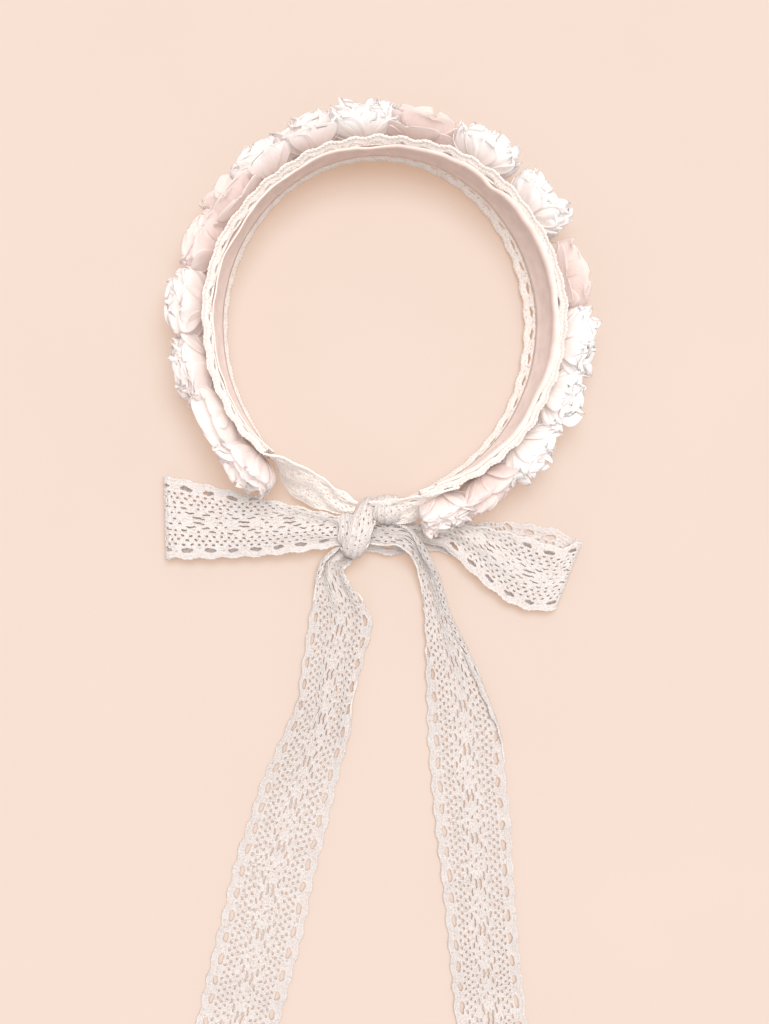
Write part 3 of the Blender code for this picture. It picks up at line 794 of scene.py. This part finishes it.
def math_of(nodes, links, operation, *terms):
    """A Math node's result, from sockets and plain numbers in order."""
    made = nodes.new("ShaderNodeMath")
    made.operation = operation
    for k, term in enumerate(terms):
        if isinstance(term, bpy.types.NodeSocket):
            links.new(term, made.inputs[k])
        else:
            made.inputs[k].default_value = term
    return made.outputs["Value"]


def paint(links, shader, colour, glow):
    """Give the shader a colour socket, and let a share of it glow as painted light."""
    links.new(colour, shader.inputs["Base Color"])
    links.new(colour, shader.inputs["Emission Color"])
    shader.inputs["Emission Strength"].default_value = glow


def bump(nodes, links, shader, height, strength, distance):
    """Raise the surface by a height socket."""
    made = node(nodes, "ShaderNodeBump", Strength=strength, Distance=distance)
    links.new(height, made.inputs["Height"])
    links.new(made.outputs["Normal"], shader.inputs["Normal"])


def light_through(nodes, links, shader, colour, share):
    """Let a share of the light through the cloth, in a colour socket's colour."""
    through = nodes.new("ShaderNodeBsdfTranslucent")
    links.new(colour, through.inputs["Color"])
    both = nodes.new("ShaderNodeMixShader")
    both.inputs["Fac"].default_value = share
    links.new(shader.outputs["BSDF"], both.inputs[1])
    links.new(through.outputs["BSDF"], both.inputs[2])
    links.new(both.outputs["Shader"], nodes["Material Output"].inputs["Surface"])


def lace_material(name, thread, glow=0.0):
    """Cotton thread: knitted stitches a millimetre apart, with painted shade where they part, and a
    given share of its colour glowing as painted light.
    """
    lace = bpy.context.scene.crown_lace
    made, nodes, links, shader = new_material(name, thread, 0.88, 0.25)
    place = uv_place(nodes)
    stitches = node(nodes, "ShaderNodeTexVoronoi", {"feature": "F1"}, Scale=1.15, Randomness=0.75)
    threads = node(nodes, "ShaderNodeTexWave", {"bands_direction": "DIAGONAL"}, Scale=0.75,
                   Distortion=5.0, Detail=2.0, Detail_Scale=1.6)
    uneven = node(nodes, "ShaderNodeTexNoise", Scale=0.16, Detail=3.0)
    fine = node(nodes, "ShaderNodeTexNoise", Scale=2.6, Detail=2.0)
    for texture in (stitches, threads, uneven, fine):
        links.new(place, texture.inputs["Vector"])
    # Painted shade: darker where the stitches part, less so on the cords.
    gap_shade = ramp(nodes, links, stitches.outputs["Distance"], 0.52, 0.92, (0, 0, 0), (1, 1, 1))
    soft = math_of(nodes, links, "MULTIPLY_ADD", point_value(nodes, "cord"), -0.75, 0.95)
    amount = math_of(nodes, links, "MULTIPLY", gap_shade, soft)
    colour = blend_colours(nodes, links, "MIX", thread, lace.crevice_shade, amount)
    tone = ramp(nodes, links, uneven.outputs["Fac"], 0.3, 0.7, (0.98, 0.955, 0.94), (1, 1, 1))
    colour = blend_colours(nodes, links, "MULTIPLY", colour, tone, 1.0)
    speck = ramp(nodes, links, fine.outputs["Fac"], 0.36, 0.62, (0.90, 0.87, 0.85), (1, 1, 1))
    colour = blend_colours(nodes, links, "MULTIPLY", colour, speck, 0.8)
    paint(links, shader, colour, glow)
    height = math_of(
        nodes, links, "SUBTRACT", threads.outputs["Fac"], stitches.outputs["Distance"]
    )
    bump(nodes, links, shader, height, 0.7, 0.35 * MM)
    light_through(nodes, links, shader, colour, 0.28)
    return made


def cloth_material(name, colour, roughness, sheen, rib, glow=0.0):
    """Fine woven cloth: ribs across the ribbon, a soft uneven tone, a given share of its colour
    glowing as painted light, and some light through.
    """
    made, nodes, links, shader = new_material(name, colour, roughness, sheen)
    place = uv_place(nodes)
    weave = node(nodes, "ShaderNodeTexWave", {"bands_direction": "Y"}, Scale=rib, Distortion=0.6)
    warp = node(nodes, "ShaderNodeTexWave", {"bands_direction": "X"}, Scale=rib * 0.8, Distortion=0.8)
    uneven = node(nodes, "ShaderNodeTexNoise", Scale=0.12, Detail=4.0)
    for texture in (weave, warp, uneven):
        links.new(place, texture.inputs["Vector"])
    dark = tuple(0.86 * c for c in colour)
    base = ramp(nodes, links, uneven.outputs["Fac"], 0.3, 0.7, dark, colour)
    thread = ramp(nodes, links, weave.outputs["Fac"], 0.0, 0.6, (0.9, 0.88, 0.87), (1, 1, 1))
    tone = blend_colours(nodes, links, "MULTIPLY", base, thread, 0.6)
    paint(links, shader, tone, glow)
    height = math_of(nodes, links, "ADD", weave.outputs["Fac"], warp.outputs["Fac"])
    bump(nodes, links, shader, height, 0.35, 0.12 * MM)
    light_through(nodes, links, shader, tone, 0.25)
    return made


def chiffon_material(name, colour, glow):
    """Chiffon: crinkles along the petal with painted shade in their folds, painted shade that makes
    the petal darker and warmer at its base than at its edge, a painted glow, and light through.
    """
    made, nodes, links, shader = new_material(name, colour, 0.85, 0.15)
    shader.inputs["Specular IOR Level"].default_value = 0.25
    place = uv_place(nodes)
    stretch = node(nodes, "ShaderNodeMapping", Scale=(2.2, 0.12, 1.0))
    links.new(place, stretch.inputs["Vector"])
    crinkle = node(nodes, "ShaderNodeTexNoise", Scale=1.0, Detail=4.0, Distortion=0.4)
    links.new(stretch.outputs["Vector"], crinkle.inputs["Vector"])
    weave = node(nodes, "ShaderNodeTexNoise", Scale=5.0, Detail=1.0)
    links.new(place, weave.inputs["Vector"])
    # Painted shade: each petal is darker and warmer towards its root, deep in the flower.
    root = tuple(c * k for c, k in zip(colour, (0.93, 0.88, 0.85)))
    base = ramp(nodes, links, point_value(nodes, "tip"), 0.05, 0.75, root, colour)
    # Painted shade: darker along the folds of the crinkles.
    folds = ramp(nodes, links, crinkle.outputs["Fac"], 0.36, 0.62, (0.955, 0.94, 0.935), (1, 1, 1))
    tone = blend_colours(nodes, links, "MULTIPLY", base, folds, 0.8)
    paint(links, shader, tone, glow)
    height = math_of(
        nodes, links, "MULTIPLY_ADD", weave.outputs["Fac"], 0.12, crinkle.outputs["Fac"]
    )
    bump(nodes, links, shader, height, 0.7, 0.6 * MM)
    light_through(nodes, links, shader, tone, 0.60)
    return made


def floor_material(stage):
    """Plain matt paper with warm shadows: part of its brightness is its own."""
    open_light = stage.key / np.pi + stage.fill
    own = tuple(c * share for c, share in zip(stage.floor, stage.backlight))
    colour = tuple((c - light) / open_light for c, light in zip(stage.floor, own))
    made, nodes, links, shader = new_material("stage_floor_paper", colour, 0.95, 0.0)
    shader.inputs["Specular IOR Level"].default_value = 0.0
    shader.inputs["Emission Color"].default_value = (*own, 1.0)
    shader.inputs["Emission Strength"].default_value = 1.0
    place = nodes.new("ShaderNodeTexCoord")
    mottle = node(nodes, "ShaderNodeTexNoise", Scale=9.0, Detail=4.0)
    links.new(place.outputs["Object"], mottle.inputs["Vector"])
    dark = tuple(0.97 * c for c in colour)
    links.new(
        ramp(nodes, links, mottle.outputs["Fac"], 0.3, 0.7, dark, colour),
        shader.inputs["Base Color"],
    )
    return made


# ---------------------------------------------------------------- flowers
# Rings of petals in each kind of flower: how many, where the ring starts out from the
# flower's axis, petal length and half width, how far it leans from the axis at its base
# and at its tip in degrees, how far its sides cup in, its folds, its lip in degrees and
# how ragged its rim is.
RINGS = {
    "ruffle": (
        (7, 2.2, 16.2, 9.6, 66, 44, 0.4, 1.1, 4, 0.8),
        (7, 1.8, 17.2, 9.2, 50, 32, 0.6, 1.2, 4, 0.9),
        (5, 1.4, 17.6, 8.8, 32, 18, 0.8, 1.1, 3, 0.9),
        (4, 0.9, 16.8, 6.4, 16, 6, 1.0, 0.8, 2, 0.8),
    ),
    "fringe": (
        (9, 2.2, 16.4, 7.2, 68, 46, 0.4, 1.3, 4, 1.5),
        (8, 1.8, 17.2, 7.0, 52, 34, 0.5, 1.3, 4, 1.6),
        (6, 1.4, 17.6, 6.8, 34, 20, 0.7, 1.2, 3, 1.6),
        (4, 0.9, 16.8, 5.6, 16, 8, 0.9, 0.8, 2, 1.3),
    ),
    "blush": (
        (6, 2.2, 15.2, 10.2, 70, 44, 0.8, 0.7, 30, 0.3),
        (5, 1.8, 16.0, 9.8, 52, 28, 1.2, 0.6, 30, 0.3),
        (4, 1.2, 16.2, 8.6, 34, 14, 1.8, 0.5, 24, 0.3),
        (3, 0.8, 15.4, 6.4, 16, 2, 2.0, 0.4, 10, 0.3),
    ),
    "rose": (
        (5, 2.6, 15.6, 11.4, 86, 56, 1.4, 0.5, 75, 0.2),
        (5, 2.2, 16.0, 10.6, 64, 32, 2.2, 0.4, 75, 0.2),
        (4, 1.6, 16.2, 8.8, 42, 10, 3.0, 0.4, 60, 0.2),
        (3, 0.9, 15.4, 6.2, 18, -4, 3.0, 0.3, 40, 0.2),
    ),
    "bud": (
        (5, 2.6, 15.6, 11.0, 84, 52, 1.2, 0.4, 10, 0.2),
        (3, 1.8, 16.6, 11.5, 54, 18, 2.4, 0.3, 6, 0.1),
        (2, 1.0, 15.4, 8.0, 24, -6, 2.8, 0.3, 0, 0.1),
    ),
}
PETAL_ROWS, PETAL_COLUMNS = 12, 23
FLOWER_SHARE = 15.9, 0.18
FLOWER_KNEE = 11.0
END_FLOWER_KNEE = 5.0
FLOWER_STRETCH = 1.32
FLOWER_SEED = 300
PETAL_OFF_FLOOR = 0.8 * MM


def petal(side, reach, ring, turn, shift):
    """One petal as points for side from -1 to 1 and reach from 0 to 1, about +Z.

    Its middle line leans from the axis by an angle that changes evenly along it, with a
    lip that turns out at the tip. Its outline widens as a sine and closes as a circle,
    and its rim is drawn in and out by sines across it. Its sides cup in with the square
    of side. Folds fan out from the base as three sines across it, growing along it.
    """
    _, start, length, half, base_lean, tip_lean, cup, wave, lip, ragged = ring
    rim = 1 + ragged * (
        0.060 * np.sin(5.1 * side + shift[1])
        + 0.045 * np.sin(12.7 * side + shift[2])
        + 0.025 * np.sin(29.0 * side + shift[0])
    )
    lean = np.radians(base_lean + (tip_lean - base_lean) * reach**0.8 + lip * reach**7)
    step = np.gradient(reach[:, 0])[:, None] * length * rim
    out = start + np.cumsum(np.sin(lean) * step, axis=0)
    up = np.cumsum(np.cos(lean) * step, axis=0)
    widest = 0.72
    opening = 0.38 + 0.62 * np.sin(np.clip(reach / widest, 0, 1) * np.pi / 2)
    closing = np.clip(1 - ((reach - widest) / (1.004 - widest)).clip(0) ** 2.2, 0, 1) ** 0.5
    across = side * half * opening * closing
    folds = (
        np.sin(shift[0] + side * (3.6 + 0.4 * shift[1]) + 2 * reach)
        + 0.42 * np.sin(shift[1] + side * (8.5 + shift[2]))
        + 0.14 * np.sin(shift[2] + side * (17 + shift[0]))
    )
    folds = wave * folds * reach**1.4 * (0.55 + 0.45 * np.sin(2 * reach + shift[2]))
    push = -cup * side**2 * (0.35 + 0.65 * reach) + folds + 0.35 * side
    out = out + push * np.cos(lean)
    up = up - push * np.sin(lean)
    x = out * np.cos(turn) - across * np.sin(turn)
    y = out * np.sin(turn) + across * np.cos(turn)
    return np.stack([x, y, up], -1).reshape(-1, 3)


def flower_mesh(rings, chance, knot_side):
    """All the petals of some rings as points, faces, UVs and how far along each petal.

    Beyond a knee, a petal's distance along the band eases towards the flower's share of
    the row as a hyperbolic tangent, as flowers sewn side by side press flat.
    """
    side, reach = np.meshgrid(
        np.linspace(-1, 1, PETAL_COLUMNS), np.sin(np.linspace(0, np.pi / 2, PETAL_ROWS))
    )
    faces = grid_faces(PETAL_ROWS, PETAL_COLUMNS)
    points, all_faces, uvs, tips = [], [], [], []
    for ring in rings:
        first = chance.uniform(0, TURN)
        for k in range(ring[0]):
            turn = first + TURN * (k + chance.uniform(-0.16, 0.16)) / ring[0]
            scale = chance.uniform(0.86, 1.08)
            tilt = chance.uniform(-7, 7)
            shaped = (
                ring[0], ring[1], ring[2] * scale, ring[3], ring[4] + tilt, ring[5] + tilt, *ring[6:]
            )
            made = petal(side, reach, shaped, turn, chance.uniform(0, TURN, 3))
            all_faces.append(faces + len(points) * len(made))
            points.append(made)
            offset = chance.uniform(0, 40, 2)
            flat = np.stack([side * ring[3], reach * ring[2]], -1).reshape(-1, 2)
            uvs.append(flat + offset)
            tips.append(reach.ravel())
    points = np.concatenate(points)
    points[:, 0] *= FLOWER_STRETCH
    along = np.abs(points[:, 0])
    knee = np.where(np.sign(points[:, 0]) == knot_side, END_FLOWER_KNEE, FLOWER_KNEE)
    room = FLOWER_SHARE[0] - FLOWER_KNEE + FLOWER_SHARE[1] * points[:, 2]
    eased = knee + room * np.tanh((along - knee) / room)
    points[:, 0] = np.sign(points[:, 0]) * np.where(along > knee, eased, along)
    return points * MM, np.concatenate(all_faces), np.concatenate(uvs), np.concatenate(tips)


def make_flower(number, finishes):
    """One flower, sewn to the band where its CAD heart is, in two pieces."""
    flowers = bpy.context.scene.crown_flowers
    kind = FLOWER_KINDS[number - 1]
    low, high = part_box(f"flower_{number:02d}_heart")
    middle = (low + high) / 2
    degrees = np.degrees(np.arctan2(middle.y, middle.x))
    share = np.array([flowers.height_share])
    seat, outwards = wall_at(np.array([degrees]), share)
    seat, outwards = seat[0], outwards[0]
    along = unit(np.cross([0.0, 0.0, 1.0], outwards))
    up = np.cross(outwards, along)
    chance = np.random.default_rng(FLOWER_SEED + number)
    stand = np.stack([along, up, outwards])
    rings = RINGS[kind]
    split = len(rings) // 2
    for part, chosen in (("petals", rings[:split]), ("heart", rings[split:])):
        points, faces, uv, tips = flower_mesh(chosen, chance, -1 if number == 1 else 0)
        placed = seat + outwards * flowers.seat + points @ stand
        placed[:, 2] = np.maximum(placed[:, 2], PETAL_OFF_FLOOR)
        name = f"bloom_{number:02d}_{part}"
        made = add_piece(name, placed, faces, finishes[kind], uv, "crown")
        point_values(made, "tip", tips)
        thicken(made, flowers.petal_thickness)
        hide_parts(f"flower_{number:02d}_{part}")


# ---------------------------------------------------------------- operators
class CROWN_OT_stage(bpy.types.Operator):
    """Make the floor, the lights and the camera."""

    bl_idname = "crown.stage"
    bl_label = "Stage"

    def execute(self, context):
        stage = context.scene.crown_stage
        span = np.array([[-1, -1, 0], [1, -1, 0], [1, 1, 0], [-1, 1, 0]]) * FLOOR_HALF_WIDTH
        span = span + np.array([0, stage.camera_y, 0])
        floor = add_piece(
            "studio_floor", span, np.array([[0, 1, 2, 3]]), floor_material(stage),
            np.zeros((4, 2)),
        )
        camera = bpy.data.objects.new("Camera", bpy.data.cameras.new("Camera"))
        camera.data.lens = stage.lens
        camera.data.sensor_width = 36.0
        camera.location = (0.0, stage.camera_y, stage.camera_height)
        context.scene.collection.objects.link(camera)
        context.scene.camera = camera
        light = bpy.data.lights.new("overhead_softbox", "SUN")
        light.energy = stage.key
        light.angle = stage.softness
        light.color = (1.0, 0.985, 0.965)
        made = bpy.data.objects.new("overhead_softbox", light)
        made.location = (0.22, 0.50, 2.0)
        made.rotation_euler = (-made.location).to_track_quat("-Z", "Y").to_euler()
        context.scene.collection.objects.link(made)
        world = bpy.data.worlds.new("soft_room")
        world.use_nodes = True
        sky = world.node_tree.nodes["Background"]
        sky.inputs["Color"].default_value = (1.0, 0.985, 0.97, 1.0)
        sky.inputs["Strength"].default_value = stage.fill
        context.scene.world = world
        context.scene.view_settings.view_transform = "Standard"
        return {"FINISHED"}


class CROWN_OT_band(bpy.types.Operator):
    """Make the lace band and its two leads into the knot."""

    bl_idname = "crown.band"
    bl_label = "Lace band"

    def execute(self, context):
        lace = context.scene.crown_lace
        # Painted light: the edge cord glows with the lace's glow, and the band's thread and cord are
        # a lighter copy of the lace, in the edge cord's colour with the stronger band glow, for the
        # upright band.
        lace_material("cotton_lace_thread", lace.thread)
        lace_material("cotton_edge_cord", lace.edge, lace.glow)
        lace_material("cotton_band_cord_lit", lace.edge, lace.band_glow)
        finish = lace_material("cotton_band_thread_lit", lace.edge, lace.band_glow)
        span = BAND_TO_DEG - BAND_FROM_DEG
        length = np.radians(span) * (RING_RADIUS + FOOT_RADIUS_X) / 2

        def place(u, share):
            return wall_at(BAND_FROM_DEG + span * share, np.clip(u / lace.width + 0.5, 0, 1))

        band, edging, area = lace_piece(
            "lace_round_band", place, length, finish, "crown", rope=0.85 * MM, coarser=1.2
        )
        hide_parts("lace_band")
        ends = (
            ("left", BAND_TO_DEG, LEFT_LEAD_ROWS, length, False),
            ("right", BAND_FROM_DEG + LAP_DEG, RIGHT_LEAD_ROWS, -40 * MM, True),
        )
        for side, degrees, rows, start, band_last in ends:
            ends_at, outwards = wall_at(
                np.full(2, degrees), np.array([LAP_FOOT if band_last else 0.0, 1.0])
            )
            foot, top = ends_at + outwards * (LAP_OFF if band_last else 0.0)
            edge = ((tuple(foot), tuple(top), 0.0, 0.0, 0.0),)
            chain = (*rows, *edge) if band_last else (*edge, *rows)
            place, run, showing = ribbon_place(chain, lace.width, 2, lean_up=False)
            lead, edging, area = lace_piece(
                f"lace_{side}_lead", place, run, finish, "crown", start, showing=showing,
                aside=lace.width / 2,
            )
            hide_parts(f"{side}_lead")
        return {"FINISHED"}


class CROWN_OT_lining(bpy.types.Operator):
    """Make the lining ribbon inside the band and the net tape outside it."""

    bl_idname = "crown.lining"
    bl_label = "Lining and tape"

    def execute(self, context):
        lace, lining = context.scene.crown_lace, context.scene.crown_lining
        degrees, height = np.meshgrid(
            np.linspace(LINING_FROM_DEG, LINING_TO_DEG, 453), np.linspace(0, 1, 13)
        )
        margin = lining.top_margin * (1 - 0.35 * np.cos(np.radians(degrees)))
        high = 1 - margin / lace.width
        low = high - lining.width / lace.width
        standing = sum(
            part * np.exp(-(((degrees - at) / wide) ** 2)) for at, wide, part in LINING_GAPS
        )
        ease = 1.0 * MM + lining.gape * standing * height**3
        ease += 0.12 * MM * np.sin(TURN * degrees / 23) * height
        surface, outwards = wall_at(degrees, low + (high - low) * height)
        points = (surface - outwards * ease[..., None]).reshape(-1, 3)
        span = LINING_TO_DEG - LINING_FROM_DEG
        length = np.radians(span) * RING_RADIUS
        uv = np.stack([height * lining.width / MM, degrees / span * length / MM], -1).reshape(-1, 2)
        faces = grid_faces(*degrees.shape)[:, ::-1]
        # Painted light: the lining glows a little in its own colour.
        finish = cloth_material("lining_ribbon_cloth", lining.colour, 0.8, 0.35, 0.9, 0.07)
        made = add_piece("lining_inside_ribbon", points, faces, finish, uv, "crown")
        thicken(made, LINING_WALL)
        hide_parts("lining_ribbon")

        degrees, height = np.meshgrid(
            np.linspace(TAPE_FROM_DEG, TAPE_TO_DEG, 229), np.linspace(0, 1, 7)
        )
        half = lining.tape_width / lace.width / 2
        middle = context.scene.crown_flowers.height_share
        surface, outwards = wall_at(degrees, middle - half + 2 * half * height)
        points = (surface + outwards * TAPE_OFF).reshape(-1, 3)
        span = TAPE_TO_DEG - TAPE_FROM_DEG
        length = np.radians(span) * RING_RADIUS
        uv = np.stack([height * lining.tape_width / MM, degrees / span * length / MM], -1)
        finish = cloth_material("net_tape_cloth", lining.tape_colour, 0.9, 0.2, 1.4)
        faces = grid_faces(*degrees.shape)
        made = add_piece(
            "net_tape_round", points, faces, finish, uv.reshape(-1, 2), "crown"
        )
        thicken(made, TAPE_WALL)
        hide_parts("flower_tape")
        return {"FINISHED"}


class CROWN_OT_flowers(bpy.types.Operator):
    """Make the row of chiffon flowers."""

    bl_idname = "crown.flowers"
    bl_label = "Flowers"

    def execute(self, context):
        flowers = context.scene.crown_flowers
        pale = tuple((a + b) / 2 for a, b in zip(flowers.white, flowers.blush))
        white = chiffon_material("white_chiffon_petal", flowers.white, flowers.glow)
        soft = chiffon_material("pale_chiffon_petal", pale, flowers.glow)
        finishes = {
            "ruffle": soft,
            "fringe": white,
            "bud": soft,
            "blush": chiffon_material("blush_chiffon_petal", flowers.blush, flowers.glow),
            "rose": chiffon_material("rose_chiffon_petal", flowers.rose, flowers.glow),
        }
        for number in range(1, len(FLOWER_KINDS) + 1):
            make_flower(number, finishes)
        return {"FINISHED"}


class CROWN_OT_bow(bpy.types.Operator):
    """Make the bow: its tails, its loops and its knot."""

    bl_idname = "crown.bow"
    bl_label = "Bow"

    def execute(self, context):
        lace = context.scene.crown_lace
        finish = bpy.data.materials["cotton_lace_thread"]
        # Painted light: the loops and the knot take a glowing copy of the tails' thread.
        lit_loop_thread = lace_material("cotton_loop_thread_lit", lace.thread, lace.glow)
        for side, rows, pleats in (
            ("left", LEFT_TAIL_ROWS, 2.5), ("right", RIGHT_TAIL_ROWS, 2.0),
        ):
            place, run, showing = ribbon_place(rows, lace.width, pleats)
            tail, edging, area = lace_piece(
                f"lace_{side}_tail", place, run, finish, None, showing=showing
            )
            for piece in (tail, edging):
                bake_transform(piece)
            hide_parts(f"{side}_tail", f"{side}_tail_root")
        for side, outwards, lower, upper in (
            ("left", -1, LEFT_LOOP_LOWER, LEFT_LOOP_UPPER),
            ("right", 1, RIGHT_LOOP_LOWER, RIGHT_LOOP_UPPER),
        ):
            rows = fold_rows(lower, upper, outwards)
            place, run, showing = ribbon_place(rows, lace.width, 2.0, lean_up=False)
            loop, edging, area = lace_piece(
                f"lace_{side}_loop", place, run, lit_loop_thread, None, showing=showing,
                aside=lace.width / 2,
            )
            for piece in (loop, edging):
                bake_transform(piece)
            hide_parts(f"{side}_loop")
        self.knot(lace, lit_loop_thread)
        return {"FINISHED"}

    def knot(self, lace, finish):
        """The knot's wraps: rings of gathered lace with plump middles."""
        wraps = (
            ("main", (-0.0115, -0.0996, 0.0125), 0.0148, 0.0105, 0.0064, 0.0036),
            ("left", (-0.0180, -0.1005, 0.0105), 0.0086, 0.0068, 0.0048, 0.0),
            ("right", (0.0018, -0.0905, 0.0165), 0.0068, 0.0090, 0.0072, 0.0),
        )
        for name, centre, half_y, half_z, half_x, skew in wraps:

            def place(u, share):
                turn = TURN * share
                b = np.clip(u / lace.width * 2, -1, 1)
                full = np.sqrt(np.clip(1 - 0.62 * b**2, 0, 1))
                pleat = 0.20 * MM * np.cos(TURN * 2.1 * b + 1.3 * np.sin(turn))
                cos, sin = np.cos(turn), np.sin(turn)
                slim = 1 - 0.38 * np.clip(cos, 0, 1) ** 2 * (skew > 0)
                x = centre[0] + b * half_x * slim + skew * cos
                y = centre[1] + (half_y * full + pleat) * np.sign(cos) * np.abs(cos) ** 0.8
                z = centre[2] + (half_z * full + pleat) * np.sign(sin) * np.abs(sin) ** 0.8
                normals = unit(np.stack([0.6 * b, cos, sin], -1))
                return np.stack([x, y, z], -1), normals

            around = TURN * (half_y + half_z) / 2
            shown = 2.1 * half_x / lace.width

            def showing(share, shown=shown):
                return np.full_like(share, shown)

            wrap, edging, area = lace_piece(
                f"lace_knot_{name}_wrap", place, around, finish, "crown", showing=showing,
                aside=14 * MM, tight=0.20 * MM,
            )
            if name == "main":
                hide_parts("bow_knot")


class CROWN_PT_panel(bpy.types.Panel):
    """The crown's pieces and settings."""

    bl_label = "Flower crown"
    bl_idname = "CROWN_PT_panel"
    bl_space_type = "VIEW_3D"
    bl_region_type = "UI"
    bl_category = "Flower crown"

    def draw(self, context):
        for operator in OPERATORS:
            self.layout.operator(operator.bl_idname)
        for group in ("crown_lace", "crown_lining", "crown_flowers", "crown_stage"):
            settings = getattr(context.scene, group)
            box = self.layout.box()
            for name in settings.bl_rna.properties.keys():
                if name not in ("rna_type", "name"):
                    box.prop(settings, name)


# The floor reaches this many metres each way.
FLOOR_HALF_WIDTH = 15.0
SETTINGS = {
    "crown_lace": CrownLace,
    "crown_lining": CrownLining,
    "crown_flowers": CrownFlowers,
    "crown_stage": CrownStage,
}
OPERATORS = (
    CROWN_OT_stage,
    CROWN_OT_band,
    CROWN_OT_lining,
    CROWN_OT_flowers,
    CROWN_OT_bow,
)


def register():
    """Register the settings, the operators and the panel."""
    for cls in (*SETTINGS.values(), *OPERATORS, CROWN_PT_panel):
        bpy.utils.register_class(cls)
    for name, group in SETTINGS.items():
        setattr(bpy.types.Scene, name, bpy.props.PointerProperty(type=group))


def unregister():
    """Take back what register made."""
    for name in SETTINGS:
        delattr(bpy.types.Scene, name)
    for cls in reversed((*SETTINGS.values(), *OPERATORS, CROWN_PT_panel)):
        bpy.utils.unregister_class(cls)


def main():
    """Make the whole crown."""
    register()
    bpy.ops.crown.stage()
    bpy.ops.crown.band()
    bpy.ops.crown.lining()
    bpy.ops.crown.flowers()
    bpy.ops.crown.bow()


if __name__ == "__main__":
    main()
